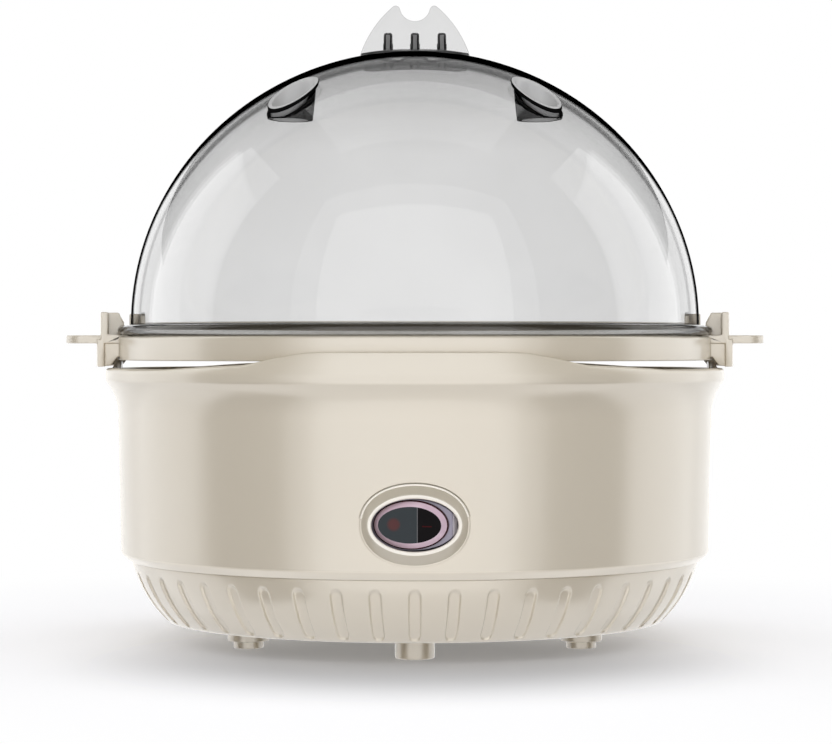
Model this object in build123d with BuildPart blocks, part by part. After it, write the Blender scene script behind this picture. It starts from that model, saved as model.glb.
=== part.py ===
from build123d import *
import math
import os

os.makedirs("parts", exist_ok=True)

# Electric egg cooker for seven eggs. The origin is on the worktop under the middle,
# +Z is up, the switch faces -Y and the cord inlet faces +Y. All sizes are millimetres.

# Levels above the worktop.
foot_height = 5.6
seam_level = 22.5
flare_start_level = 63.0
rim_low_level = 72.2
rim_high_level = 74.5
collar_top_level = 80.2
collar_dip_level = 75.6
tray_bottom_level = 77.8
tray_top_level = 84.3
dome_base_level = 87.6
switch_level = 36.8
inlet_level = 34.0

# Radii from the middle axis.
cover_bottom_radius = 68.8
cover_top_radius = 78.9
wall_low_radius = 81.8
wall_high_radius = 82.6
rim_radius = 86.1
collar_top_radius = 84.3
collar_inner_radius = 83.0
skirt_radius = 82.6
post_circle = 52.0
stud_circle = 57.0
egg_circle = 45.0
egg_hole_radius = 16.5

# Shared thicknesses and gaps.
wall = 2.2
rest_gap = 0.3
spigot_gap = 0.15
fit_gap = 0.05
screw_play = 0.2

# The smoked dome is half of an ellipsoid of revolution.
dome_radius = 79.1
dome_height = 76.2
dome_wall = 2.0


def radial_plane(angle):
    """Upright plane through the middle axis, its x axis pointing out at this angle."""
    outward = Vector(1, 0, 0).rotate(Axis.Z, angle)
    return Plane(origin=(0, 0, 0), x_dir=outward, z_dir=outward.cross(Vector(0, 0, 1)))


def ellipsoid_cap(grow):
    """The dome's outer surface, grown by this much, as a solid half ellipsoid."""
    with BuildPart() as cap:
        with BuildSketch(Plane.XZ):
            with BuildLine():
                EllipticalCenterArc(
                    (0, dome_base_level), dome_radius + grow, dome_height + grow, 0, arc_size=90
                )
                Line((0, dome_base_level + dome_height + grow), (0, dome_base_level))
                Line((0, dome_base_level), (dome_radius + grow, dome_base_level))
            make_face()
        revolve(axis=Axis.Z)
    return cap.part


def finish(piece, name):
    """Give the piece its name and write it out."""
    piece.label = name
    export_step(piece, f"parts/{name}.step")


# Lower cover: a shallow bowl whose side is one arc, with 48 upright grooves sunk in it.
bowl_arc_radius = 33.0
bowl_arc_centre = (46.8, 30.2)
groove_count = 48
groove_depth = 0.7
groove_width = 3.0
groove_bottom = 6.4
groove_top = 19.7
cutter_overshoot = 6.0
spigot_height = 3.5
spigot_wall = 1.9


def bowl_radius(level, inset):
    """Radius of the bowl's side at this level, this far inside its outer surface."""
    rise = level - bowl_arc_centre[1]
    return bowl_arc_centre[0] + math.sqrt((bowl_arc_radius - inset) ** 2 - rise**2)


def bowl_arc(low, high, inset):
    """Three points of the bowl's side between two levels."""
    middle = (low + high) / 2
    return [(bowl_radius(level, inset), level) for level in (low, middle, high)]


with BuildPart() as groove_cutter:
    with BuildSketch(Plane.YZ.offset(cover_bottom_radius - cutter_overshoot)):
        with Locations((0, (groove_top + groove_bottom) / 2)):
            SlotOverall(groove_top - groove_bottom, groove_width, rotation=90)
    extrude(amount=cover_top_radius - cover_bottom_radius + 2 * cutter_overshoot)

# Three plain feet and, between them, three stepped posts that the cover screws go up.
foot_radius = 5.2
foot_chamfer = 0.5
post_radius = 5.65
post_tip_radius = 4.05
post_tip_height = 1.9
screw_seat_level = 4.4
screw_head_radius = 2.8
screw_radius = 1.5
tower_radius = 4.4
tower_top_level = 14.0

with BuildPart() as plain_foot:
    with BuildSketch():
        with Locations((post_circle, 0)):
            Circle(foot_radius)
    extrude(amount=foot_height + wall / 2)
    chamfer(plain_foot.faces().sort_by(Axis.Z)[0].edges(), foot_chamfer)

with BuildPart() as screw_post:
    with BuildSketch():
        with Locations((post_circle, 0)):
            Circle(post_tip_radius)
    extrude(amount=foot_height)
    with BuildSketch(Plane.XY.offset(post_tip_height)):
        with Locations((post_circle, 0)):
            Circle(post_radius)
    extrude(amount=foot_height + wall / 2 - post_tip_height)
    with BuildSketch(Plane.XY.offset(foot_height)):
        with Locations((post_circle, 0)):
            Circle(tower_radius)
    extrude(amount=tower_top_level - foot_height)

with BuildPart() as screw_way:
    with BuildSketch():
        with Locations((post_circle, 0)):
            Circle(screw_head_radius + screw_play)
    extrude(amount=screw_seat_level)
    with BuildSketch(Plane.XY.offset(screw_seat_level)):
        with Locations((post_circle, 0)):
            Circle(screw_radius + screw_play)
    extrude(amount=tower_top_level - screw_seat_level)

with BuildPart() as lower_cover:
    with BuildSketch(Plane.XZ):
        with BuildLine():
            ThreePointArc(*bowl_arc(foot_height, seam_level, 0))
            ThreePointArc(*bowl_arc(foot_height, seam_level, groove_depth))
            Line(
                (bowl_radius(foot_height, groove_depth), foot_height),
                (bowl_radius(foot_height, 0), foot_height),
            )
            Line(
                (bowl_radius(seam_level, groove_depth), seam_level),
                (bowl_radius(seam_level, 0), seam_level),
            )
        make_face()
    revolve(axis=Axis.Z)
    with PolarLocations(0, groove_count):
        add(groove_cutter.part, mode=Mode.SUBTRACT)
    spigot_radius = bowl_radius(seam_level, groove_depth)
    bowl_inset = groove_depth + spigot_wall
    floor_level = foot_height + wall
    with BuildSketch(Plane.XZ):
        with BuildLine():
            Line((0, foot_height), (bowl_radius(foot_height, groove_depth), foot_height))
            ThreePointArc(*bowl_arc(foot_height, seam_level, groove_depth))
            Polyline(
                (spigot_radius, seam_level),
                (spigot_radius, seam_level + spigot_height),
                (bowl_radius(seam_level, bowl_inset), seam_level + spigot_height),
                (bowl_radius(seam_level, bowl_inset), seam_level),
            )
            ThreePointArc(*bowl_arc(floor_level, seam_level, bowl_inset))
            Polyline(
                (bowl_radius(floor_level, bowl_inset), floor_level),
                (0, floor_level),
                (0, foot_height),
            )
        make_face()
    revolve(axis=Axis.Z)
    with PolarLocations(0, 3, start_angle=-90):
        add(plain_foot.part)
    with PolarLocations(0, 3, start_angle=-30):
        add(screw_post.part)
    with PolarLocations(0, 3, start_angle=-30):
        add(screw_way.part, mode=Mode.SUBTRACT)
finish(lower_cover.part, "lower_cover")


# Cover screws: pan heads with a cross recess, up through the posts into the housing.
screw_head_height = 2.0
screw_length = 18.0
recess_span = 3.2
recess_width = 0.7
recess_depth = 1.1

with BuildPart() as cover_screws:
    with BuildSketch(Plane.XY.offset(screw_seat_level - screw_head_height)):
        with PolarLocations(post_circle, 3, start_angle=-30):
            Circle(screw_head_radius)
    extrude(amount=screw_head_height)
    with BuildSketch(Plane.XY.offset(screw_seat_level)):
        with PolarLocations(post_circle, 3, start_angle=-30):
            Circle(screw_radius)
    extrude(amount=screw_length)
    with BuildSketch(Plane.XY.offset(screw_seat_level - screw_head_height)):
        with PolarLocations(post_circle, 3, start_angle=-30):
            Rectangle(recess_span, recess_width)
            Rectangle(recess_width, recess_span)
    extrude(amount=recess_depth, mode=Mode.SUBTRACT)
finish(cover_screws.part, "cover_screws")


# Upper housing: the outer wall with its flared rim and its collar.
bottom_edge_radius = 79.5
flare_radius = 15.1
deck_level = 72.4
deck_thickness = 1.8
seam_chamfer = 2.1
spigot_mouth = 2.4
wall_foot = 3.9
flare_wall = 0.6

# The rocker's opening stands in a raised oval bezel on the front.
bezel_base = 80.4
bezel_face = 84.4
bezel_foot = (13.95, 12.05)
bezel_lip = (12.0, 7.7)
window = (10.9, 6.65)
window_depth = 1.0
pocket = (11.6, 7.3)
wide_pocket = (12.4, 8.4)
wide_pocket_start = 81.8
switch_seat = 79.5
seat_half_width = 14.6
seat_half_height = 9.2
seat_corner = 2.0
seat_depth = 6.0

# The cord inlet has a flat pad on the back.
pad_radius = 9.5
pad_face = 83.4
pad_root = 2.6
inlet_radius = 6.0
inlet_cut = 8.0

# Rim dip for the fingers at the left and right: flat, a slow rise, then a steep one.
dip_half_flat = 54.0
dip_slow_end = (72.3, 76.9)
dip_steep_end = 79.9
dip_rounding = 6.0
above_collar = 0.05
side_reach = 100.0

# A rib at each side on the dipped rim, with a slanted outer face, carries the tray.
# Four small blocks inside the full-height collar carry it too.
side_rest_inner = 82.0
side_rest_outer = 84.4
side_rest_top = 83.2
side_rest_half_width = 3.0
collar_rest_size = (2.8, 4.0)
collar_rest_angles = (68, 112, 248, 292)
rest_top_level = tray_bottom_level - rest_gap

with BuildPart() as side_rest:
    with BuildSketch(Plane.XZ):
        with BuildLine():
            Polyline(
                (side_rest_inner, deck_level),
                (side_rest_outer, deck_level),
                (side_rest_outer, collar_dip_level),
                (side_rest_top, rest_top_level),
                (side_rest_inner, rest_top_level),
                close=True,
            )
        make_face()
    extrude(amount=side_rest_half_width, both=True)

with BuildPart() as collar_rest:
    with BuildSketch(Plane.XY.offset(deck_level)):
        with Locations((collar_inner_radius - 0.8, 0)):
            Rectangle(*collar_rest_size)
    extrude(amount=rest_top_level - deck_level)

with BuildPart() as upper_housing:
    with BuildSketch(Plane.XZ):
        flare_centre = wall_high_radius + flare_radius
        with BuildLine():
            Polyline(
                (spigot_radius + spigot_gap, seam_level),
                (bottom_edge_radius, seam_level),
                (wall_low_radius, seam_level + seam_chamfer),
                (wall_high_radius, flare_start_level),
            )
            RadiusArc((wall_high_radius, flare_start_level), (rim_radius, rim_low_level), flare_radius)
            Polyline(
                (rim_radius, rim_low_level),
                (rim_radius, rim_high_level),
                (collar_top_radius, collar_top_level),
                (collar_inner_radius, collar_top_level),
                (collar_inner_radius, deck_level),
                (wall_high_radius - flare_wall, deck_level - deck_thickness),
                (wall_high_radius - wall, flare_start_level),
                (wall_low_radius - wall, seam_level + wall_foot),
                (spigot_radius + spigot_gap, seam_level + spigot_mouth),
                (spigot_radius + spigot_gap, seam_level),
            )
        make_face()
    revolve(axis=Axis.Z)
    with BuildSketch(Plane.YZ):
        with BuildLine():
            dip_line = FilletPolyline(
                (0, collar_dip_level),
                (dip_half_flat, collar_dip_level),
                dip_slow_end,
                (dip_steep_end, collar_top_level + above_collar),
                (side_reach, collar_top_level + above_collar),
                radius=dip_rounding,
            )
            Polyline(
                dip_line @ 1,
                (side_reach, side_reach),
                (0, side_reach),
                (0, collar_dip_level),
            )
        make_face()
        mirror(about=Plane.YZ)
    extrude(amount=side_reach, both=True, mode=Mode.SUBTRACT)
    with PolarLocations(0, 2):
        add(side_rest.part)
    for angle in collar_rest_angles:
        with PolarLocations(0, 1, start_angle=angle):
            add(collar_rest.part)
    with BuildSketch(Plane.XZ.offset(bezel_base)):
        with Locations((0, switch_level)):
            Ellipse(*bezel_foot)
    with BuildSketch(Plane.XZ.offset(bezel_face)):
        with Locations((0, switch_level)):
            Ellipse(*bezel_lip)
    loft()
    oval_fronts = {
        window: bezel_face,
        pocket: bezel_face - window_depth,
        wide_pocket: wide_pocket_start,
    }
    for oval, front in oval_fronts.items():
        with BuildSketch(Plane.XZ.offset(front)):
            with Locations((0, switch_level)):
                Ellipse(*oval)
        extrude(amount=switch_seat - front - seat_depth, mode=Mode.SUBTRACT)
    with BuildSketch(Plane.XZ.offset(switch_seat)):
        with Locations((0, switch_level)):
            RectangleRounded(2 * seat_half_width, 2 * seat_half_height, seat_corner)
    extrude(amount=-seat_depth, mode=Mode.SUBTRACT)
    with BuildSketch(Plane.XZ.offset(-pad_face)):
        with Locations((0, inlet_level)):
            Circle(pad_radius)
    extrude(amount=pad_root)
    with BuildSketch(Plane.XZ.offset(-pad_face)):
        with Locations((0, inlet_level)):
            Circle(inlet_radius + fit_gap)
    extrude(amount=inlet_cut, mode=Mode.SUBTRACT)
finish(upper_housing.part, "upper_housing")


# Well insert: a deck that closes the housing inside the collar, the well that the pan
# hangs in, and three long bosses under the well floor for the cover screws.
well_inner_radius = 68.2
well_wall = 1.8
well_floor_level = 54.0
well_floor_thickness = 2.0
well_floor_inner_radius = 46.0
boss_radius = 4.2
pilot_depth = 16.0
stud_hole_radius = 2.3
well_floor_bottom = well_floor_level - well_floor_thickness

with BuildPart() as hanging_boss:
    with BuildSketch(Plane.XY.offset(tower_top_level)):
        with Locations((post_circle, 0)):
            Circle(boss_radius)
    extrude(amount=well_floor_bottom - tower_top_level + well_floor_thickness / 2)
    with BuildSketch(Plane.XY.offset(tower_top_level)):
        with Locations((post_circle, 0)):
            Circle(screw_radius + fit_gap)
    extrude(amount=pilot_depth, mode=Mode.SUBTRACT)

with BuildPart() as well_insert:
    with BuildSketch(Plane.XZ):
        with BuildLine():
            Polyline(
                (collar_inner_radius, deck_level),
                (well_inner_radius, deck_level),
                (well_inner_radius, well_floor_level),
                (well_floor_inner_radius, well_floor_level),
                (well_floor_inner_radius, well_floor_bottom),
                (well_inner_radius + well_wall, well_floor_bottom),
                (well_inner_radius + well_wall, deck_level - deck_thickness),
                (wall_high_radius - flare_wall, deck_level - deck_thickness),
                close=True,
            )
        make_face()
    revolve(axis=Axis.Z)
    with PolarLocations(0, 3, start_angle=-30):
        add(hanging_boss.part)
    with BuildSketch(Plane.XY.offset(well_floor_bottom)):
        with PolarLocations(stud_circle, 3, start_angle=30):
            Circle(stud_hole_radius)
    extrude(amount=well_floor_thickness, mode=Mode.SUBTRACT)
finish(well_insert.part, "well_insert")


# Cord gland: a flanged bush in the back wall, held by a ridge behind the wall.
gland_bore_radius = 3.4
gland_flange_radius = 8.5
gland_flange_thickness = 2.0
gland_end = 76.0
gland_chamfer = 0.6
ridge_front = 79.2
ridge_height_out = 0.9
ridge_length = 1.6

with BuildPart() as cord_gland:
    with BuildSketch(Plane.XZ.offset(-pad_face - gland_flange_thickness)):
        with Locations((0, inlet_level)):
            Circle(gland_flange_radius)
    extrude(amount=gland_flange_thickness)
    chamfer(cord_gland.faces().sort_by(Axis.Y)[-1].edges(), gland_chamfer)
    with BuildSketch(Plane.XZ.offset(-pad_face)):
        with Locations((0, inlet_level)):
            Circle(inlet_radius)
    extrude(amount=pad_face - gland_end)
    with BuildSketch(Plane.XZ.offset(-ridge_front)):
        with Locations((0, inlet_level)):
            Circle(inlet_radius + ridge_height_out)
    extrude(amount=ridge_length)
    with BuildSketch(Plane.XZ.offset(-pad_face - gland_flange_thickness)):
        with Locations((0, inlet_level)):
            Circle(gland_bore_radius)
    extrude(amount=pad_face + gland_flange_thickness - gland_end, mode=Mode.SUBTRACT)
finish(cord_gland.part, "cord_gland")


# Rocker switch. Distances from the pivot are measured forward, towards -Y.
pivot_y = -75.6
half_swing = 8.7
drum_radius = 12.0
drum_flat = 5.9
drum_back = 3.6
drum_oval = (11.9, 6.5)
cap_oval = (9.55, 6.2)
face_oval = (8.0, 4.6)
cap_edge = 6.7
cap_top = 8.9
crease_at = 1.8
crease_depth = 7.6
crease_cut_reach = 14.0
crease_cut_height = 8.0
stem_half_height = 6.4
stem_width = 9.0
stem_back = 2.0
pin_radius = 1.0
pin_reach = 7.6
cheek_inner = 6.8
cheek_outer = 8.0

# The photographed position has the left end pressed in, half the swing from the middle.
pivot = Plane(origin=(0, pivot_y, switch_level), x_dir=(1, 0, 0), z_dir=(0, 0, 1))
rocker_top = pivot.rotated((0, 0, -half_swing))
forward = -rocker_top.y_dir
rocker_front = Plane(origin=rocker_top.origin, x_dir=rocker_top.x_dir, z_dir=forward)

with BuildPart() as switch_rocker:
    with BuildSketch(rocker_front.offset(drum_back)):
        Ellipse(*drum_oval)
    extrude(amount=drum_flat - drum_back)
    with BuildSketch(rocker_top.offset(-cheek_outer)):
        Circle(drum_radius)
    extrude(amount=2 * cheek_outer, mode=Mode.INTERSECT)
    with BuildSketch(rocker_front.offset(drum_back)):
        Ellipse(*cap_oval)
    extrude(amount=cap_edge - drum_back)
    with BuildSketch(rocker_front.offset(cap_edge)):
        Ellipse(*cap_oval)
    with BuildSketch(rocker_front.offset(cap_top)):
        Ellipse(*face_oval)
    loft()
    crease_drop = crease_cut_reach * math.tan(math.radians(half_swing))
    with BuildSketch(rocker_top.offset(-cheek_outer)):
        with BuildLine():
            Polyline(
                (crease_at, -crease_depth),
                (crease_at + crease_cut_reach, -crease_depth - crease_drop),
                (crease_at + crease_cut_reach, -crease_depth - crease_cut_height),
                (crease_at - crease_cut_reach, -crease_depth - crease_cut_height),
                (crease_at - crease_cut_reach, -crease_depth - crease_drop),
                close=True,
            )
        make_face()
    extrude(amount=2 * cheek_outer, mode=Mode.SUBTRACT)
    with BuildSketch(rocker_front.offset(-stem_back)):
        Rectangle(stem_width, 2 * stem_half_height)
    extrude(amount=drum_back + stem_back)
    with BuildSketch(rocker_top.offset(-pin_reach)):
        Circle(pin_radius)
    extrude(amount=2 * pin_reach)
finish(switch_rocker.part, "switch_rocker")


# Switch body: a box behind the wall with cheeks that hold the rocker's pins.
flange_half_width = 14.4
flange_half_height = 9.0
flange_back = 78.1
flange_corner = 1.5
body_half_width = 13.3
body_back = 62.0
cavity_half_width = 12.3
cavity_back = 66.0

with BuildPart() as switch_body:
    with BuildSketch(Plane.XZ.offset(flange_back)):
        with Locations((0, switch_level)):
            RectangleRounded(2 * flange_half_width, 2 * flange_half_height, flange_corner)
    extrude(amount=switch_seat - flange_back)
    with BuildSketch(Plane.XZ.offset(body_back)):
        with Locations((0, switch_level)):
            Rectangle(2 * body_half_width, 2 * cheek_outer)
    extrude(amount=flange_back - body_back)
    with BuildSketch(Plane.XZ.offset(cavity_back)):
        with Locations((0, switch_level)):
            Rectangle(2 * cavity_half_width, 2 * cheek_inner)
    extrude(amount=switch_seat - cavity_back, mode=Mode.SUBTRACT)
    with BuildSketch(Plane.XY.offset(switch_level - cheek_outer)):
        with Locations((0, pivot_y)):
            Circle(pin_radius + fit_gap)
    extrude(amount=2 * cheek_outer, mode=Mode.SUBTRACT)
finish(switch_body.part, "switch_body")

blade_spacing = 8.0
blade_width = 4.8
blade_thickness = 0.8
blade_length = 6.5
blade_end = body_back - blade_length

with BuildPart() as switch_terminals:
    with BuildSketch(Plane.XZ.offset(blade_end)):
        with Locations((0, switch_level)):
            with GridLocations(blade_spacing, 1, 3, 1):
                Rectangle(blade_thickness, blade_width)
    extrude(amount=blade_length)
finish(switch_terminals.part, "switch_terminals")

lamp_radius = 1.6
lamp_length = 5.0
lamp_rounding = 1.2

with BuildPart() as switch_lamp:
    with BuildSketch(Plane.XZ.offset(cavity_back)):
        with Locations((0, switch_level)):
            Circle(lamp_radius)
    extrude(amount=lamp_length)
    fillet(switch_lamp.faces().sort_by(Axis.Y)[0].edges(), lamp_rounding)
finish(switch_lamp.part, "switch_lamp")


# Water pan, its seal and its fixings.
pan_bottom_level = 58.0
pan_thickness = 1.2
pan_side = 1.0
pan_corner_outside = 3.2
pan_corner_inside = 2.2
pan_inner_radius = 66.3
pan_flange_radius = 71.2
pan_flange_level = 73.2
seal_inner_radius = 69.0
seal_outer_radius = 70.8
stud_radius = 2.0
stud_end = 47.0
nut_across_flats = 7.0
nut_height = 3.2

with BuildPart() as heating_plate:
    pan_outer_radius = pan_inner_radius + pan_side
    with BuildSketch(Plane.XZ):
        with BuildLine():
            FilletPolyline(
                (0, pan_bottom_level),
                (pan_outer_radius, pan_bottom_level),
                (pan_outer_radius, pan_flange_level),
                radius=pan_corner_outside,
            )
            Polyline(
                (pan_outer_radius, pan_flange_level),
                (pan_flange_radius, pan_flange_level),
                (pan_flange_radius, pan_flange_level + pan_side),
                (pan_inner_radius, pan_flange_level + pan_side),
            )
            FilletPolyline(
                (pan_inner_radius, pan_flange_level + pan_side),
                (pan_inner_radius, pan_bottom_level + pan_thickness),
                (0, pan_bottom_level + pan_thickness),
                radius=pan_corner_inside,
            )
            Line((0, pan_bottom_level + pan_thickness), (0, pan_bottom_level))
        make_face()
    revolve(axis=Axis.Z)
finish(heating_plate.part, "heating_plate")

with BuildPart() as plate_seal:
    with BuildSketch(Plane.XY.offset(deck_level)):
        Circle(seal_outer_radius)
        Circle(seal_inner_radius, mode=Mode.SUBTRACT)
    extrude(amount=pan_flange_level - deck_level)
finish(plate_seal.part, "plate_seal")

with BuildPart() as pan_studs:
    with BuildSketch(Plane.XY.offset(stud_end)):
        with PolarLocations(stud_circle, 3, start_angle=30):
            Circle(stud_radius)
    extrude(amount=pan_bottom_level - stud_end)
finish(pan_studs.part, "pan_studs")

with BuildPart() as pan_nuts:
    with BuildSketch(Plane.XY.offset(well_floor_bottom - nut_height)):
        with PolarLocations(stud_circle, 3, start_angle=30):
            RegularPolygon(nut_across_flats / 2, 6, major_radius=False)
            Circle(stud_radius + fit_gap, mode=Mode.SUBTRACT)
    extrude(amount=nut_height)
finish(pan_nuts.part, "pan_nuts")


# Tube heater: an open ring pressed flat against the pan, with its two ends turned down.
ring_radius = 38.0
tube_radius = 3.3
ring_gap_angle = 32.0
leg_end = 46.0
pin_end = 38.0
element_pin_radius = 1.2
pressed_flat = 0.4
ring_level = pan_bottom_level - tube_radius + pressed_flat

with BuildPart() as heating_element:
    with BuildSketch(radial_plane(90 + ring_gap_angle / 2)):
        with Locations((ring_radius, ring_level)):
            Circle(tube_radius)
        with Locations((ring_radius, pan_bottom_level + tube_radius)):
            Rectangle(4 * tube_radius, 2 * tube_radius, mode=Mode.SUBTRACT)
    revolve(axis=Axis.Z, revolution_arc=360 - ring_gap_angle)
    with BuildSketch(Plane.XY.offset(leg_end)):
        with PolarLocations(ring_radius, 2, 90 - ring_gap_angle / 2, 2 * ring_gap_angle):
            Circle(tube_radius)
    extrude(amount=pan_bottom_level - leg_end)
finish(heating_element.part, "heating_element")

with BuildPart() as element_pins:
    with BuildSketch(Plane.XY.offset(pin_end)):
        with PolarLocations(ring_radius, 2, 90 - ring_gap_angle / 2, 2 * ring_gap_angle):
            Circle(element_pin_radius)
    extrude(amount=leg_end - pin_end)
finish(element_pins.part, "element_pins")


# Snap thermostat under the middle of the pan, in a bracket welded to the pan.
thermostat_cap_radius = 8.2
thermostat_body_radius = 6.5
thermostat_bottom = 44.0
bracket_level = 52.0
bracket_sheet = 1.2
bracket_half_width = 6.0
bracket_leg = 19.0
bracket_reach = 27.0
collar_width = 0.5
tab_spacing = 8.0
tab_width = 6.3
tab_length = 8.0
tab_end = thermostat_bottom - tab_length

with BuildPart() as thermostat:
    with BuildSketch(Plane.XY.offset(thermostat_bottom)):
        Circle(thermostat_body_radius)
    extrude(amount=bracket_level + bracket_sheet - thermostat_bottom)
    with BuildSketch(Plane.XY.offset(bracket_level + bracket_sheet)):
        Circle(thermostat_cap_radius)
    extrude(amount=pan_bottom_level - bracket_level - bracket_sheet)
finish(thermostat.part, "thermostat")

with BuildPart() as thermostat_terminals:
    with BuildSketch(Plane.XY.offset(tab_end)):
        with GridLocations(tab_spacing, 1, 2, 1):
            Rectangle(blade_thickness, tab_width)
    extrude(amount=tab_length)
finish(thermostat_terminals.part, "thermostat_terminals")

with BuildPart() as thermostat_bracket:
    with BuildSketch(Plane.XZ):
        with BuildLine():
            Polyline(
                (0, bracket_level),
                (bracket_leg + bracket_sheet, bracket_level),
                (bracket_leg + bracket_sheet, pan_bottom_level - bracket_sheet),
                (bracket_reach, pan_bottom_level - bracket_sheet),
                (bracket_reach, pan_bottom_level),
                (bracket_leg, pan_bottom_level),
                (bracket_leg, bracket_level + bracket_sheet),
                (0, bracket_level + bracket_sheet),
                close=True,
            )
        make_face()
        mirror(about=Plane.YZ)
    extrude(amount=bracket_half_width, both=True)
    with BuildSketch(Plane.XY.offset(bracket_level)):
        Circle(thermostat_body_radius + collar_width)
    extrude(amount=bracket_sheet)
    with BuildSketch(Plane.XY.offset(bracket_level)):
        Circle(thermostat_body_radius + fit_gap)
    extrude(amount=bracket_sheet, mode=Mode.SUBTRACT)
finish(thermostat_bracket.part, "thermostat_bracket")


# Thermal fuse, strapped to the pan in front of the thermostat.
fuse_radius = 2.0
fuse_length = 12.0
fuse_y = -21.0
fuse_level = pan_bottom_level - fuse_radius
pigtail_radius = 0.6
pigtail_length = 3.0
strap_sheet = 0.6
strap_width = 5.0
strap_span = 13.0

with BuildPart() as thermal_fuse:
    with BuildSketch(Plane.YZ.offset(-fuse_length / 2)):
        with Locations((fuse_y, fuse_level)):
            Circle(fuse_radius)
    extrude(amount=fuse_length)
    with BuildSketch(Plane.YZ.offset(-fuse_length / 2 - pigtail_length)):
        with Locations((fuse_y, fuse_level)):
            Circle(pigtail_radius)
    extrude(amount=fuse_length + 2 * pigtail_length)
finish(thermal_fuse.part, "thermal_fuse")

with BuildPart() as fuse_strap:
    with BuildSketch(Plane.YZ.offset(-strap_width / 2)):
        with Locations((fuse_y, fuse_level)):
            Circle(fuse_radius + strap_sheet)
        with Locations((fuse_y, fuse_level + fuse_radius / 2)):
            Rectangle(2 * (fuse_radius + strap_sheet), fuse_radius)
        with Locations((fuse_y, pan_bottom_level - strap_sheet / 2)):
            Rectangle(strap_span, strap_sheet)
        with Locations((fuse_y, fuse_level)):
            Circle(fuse_radius, mode=Mode.SUBTRACT)
        with Locations((fuse_y, fuse_level + fuse_radius)):
            Rectangle(2 * fuse_radius, 2 * fuse_radius, mode=Mode.SUBTRACT)
    extrude(amount=strap_width)
finish(fuse_strap.part, "fuse_strap")


# Earth tab welded under the pan.
earth_spot = (24.0, 16.0)
earth_end = 49.0
earth_foot = 7.0

with BuildPart() as earth_tab:
    with BuildSketch(Plane.XY.offset(pan_bottom_level - blade_thickness)):
        with Locations(earth_spot):
            Rectangle(earth_foot, tab_width)
    extrude(amount=blade_thickness)
    with BuildSketch(Plane.XY.offset(earth_end)):
        with Locations(earth_spot):
            Rectangle(blade_thickness, tab_width)
    extrude(amount=pan_bottom_level - earth_end)
finish(earth_tab.part, "earth_tab")


# Four-way terminal block screwed under the well floor, left of the inlet.
block_length = 32.0
block_depth = 12.0
block_height = 12.0
block_centre = (-38.0, 44.0)
block_pitch = 8.0
block_corner = 1.0
slit_width = 1.2
slit_depth = 2.0
block_screw_head = (2.8, 1.8)
block_bottom = well_floor_bottom - block_height
block_front = block_centre[1] - block_depth / 2
way_level = 43.5

with BuildPart() as terminal_block:
    with BuildSketch(Plane.XY.offset(block_bottom)):
        with Locations(block_centre):
            RectangleRounded(block_length, block_depth, block_corner)
    extrude(amount=block_height)
    with BuildSketch(Plane.XY.offset(block_bottom)):
        with Locations(block_centre):
            with GridLocations(block_pitch, 1, 3, 1):
                Rectangle(slit_width, block_depth)
    extrude(amount=slit_depth, mode=Mode.SUBTRACT)
    with BuildSketch(Plane.XY.offset(block_bottom)):
        with Locations(block_centre):
            Circle(screw_radius + fit_gap)
    extrude(amount=block_height, mode=Mode.SUBTRACT)
finish(terminal_block.part, "terminal_block")

with BuildPart() as block_screw:
    with BuildSketch(Plane.XY.offset(block_bottom - block_screw_head[1])):
        with Locations(block_centre):
            Circle(block_screw_head[0])
    extrude(amount=block_screw_head[1])
    with BuildSketch(Plane.XY.offset(block_bottom)):
        with Locations(block_centre):
            Circle(screw_radius)
    extrude(amount=block_height)
finish(block_screw.part, "block_screw")


# Inner leads: insulated wires on straight runs joined by arcs.
lead_radius = 0.9
lead_bend = 4.0
element_pin_x = ring_radius * math.sin(math.radians(ring_gap_angle / 2))
element_pin_y = ring_radius * math.cos(math.radians(ring_gap_angle / 2))
fuse_wire_end = fuse_length / 2 + pigtail_length
lead_routes = {
    "lead_live": [
        (-50, block_front, way_level),
        (-50, 28, way_level),
        (-50, 8, 38),
        (-30, -30, 30),
        (-blade_spacing, -44, switch_level),
        (-blade_spacing, -blade_end, switch_level),
    ],
    "lead_lamp": [
        (-42, block_front, way_level),
        (-42, 29, way_level),
        (-42, 10, 36),
        (-18, -30, 26),
        (0, -42, switch_level),
        (0, -blade_end, switch_level),
    ],
    "lead_switched": [
        (blade_spacing, -blade_end, switch_level),
        (blade_spacing, -42, switch_level),
        (10, -18, 24),
        (tab_spacing / 2, 0, 26),
        (tab_spacing / 2, 0, tab_end),
    ],
    "lead_heater": [
        (-tab_spacing / 2, 0, tab_end),
        (-tab_spacing / 2, 0, 26),
        (-8, 18, 20),
        (-element_pin_x, element_pin_y, 26),
        (-element_pin_x, element_pin_y, pin_end),
    ],
    "lead_neutral": [
        (-34, block_front, way_level),
        (-34, 26, way_level),
        (-30, -10, 44),
        (-20, fuse_y, fuse_level),
        (-fuse_wire_end, fuse_y, fuse_level),
    ],
    "lead_fuse": [
        (fuse_wire_end, fuse_y, fuse_level),
        (21, fuse_y, fuse_level),
        (25, -10, 44),
        (20, 20, 30),
        (element_pin_x, element_pin_y, 27),
        (element_pin_x, element_pin_y, pin_end),
    ],
    "lead_earth": [
        (-26, block_front, way_level),
        (-26, 27, way_level),
        (0, 20, 34),
        (*earth_spot, 38),
        (*earth_spot, earth_end),
    ],
}

for lead_name, route in lead_routes.items():
    with BuildPart() as lead:
        with BuildLine() as path:
            FilletPolyline(*route, radius=lead_bend)
        with BuildSketch(Plane(origin=path.line @ 0, z_dir=path.line % 0)):
            Circle(lead_radius)
        sweep(path=path.line)
    finish(lead.part, lead_name)


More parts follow.
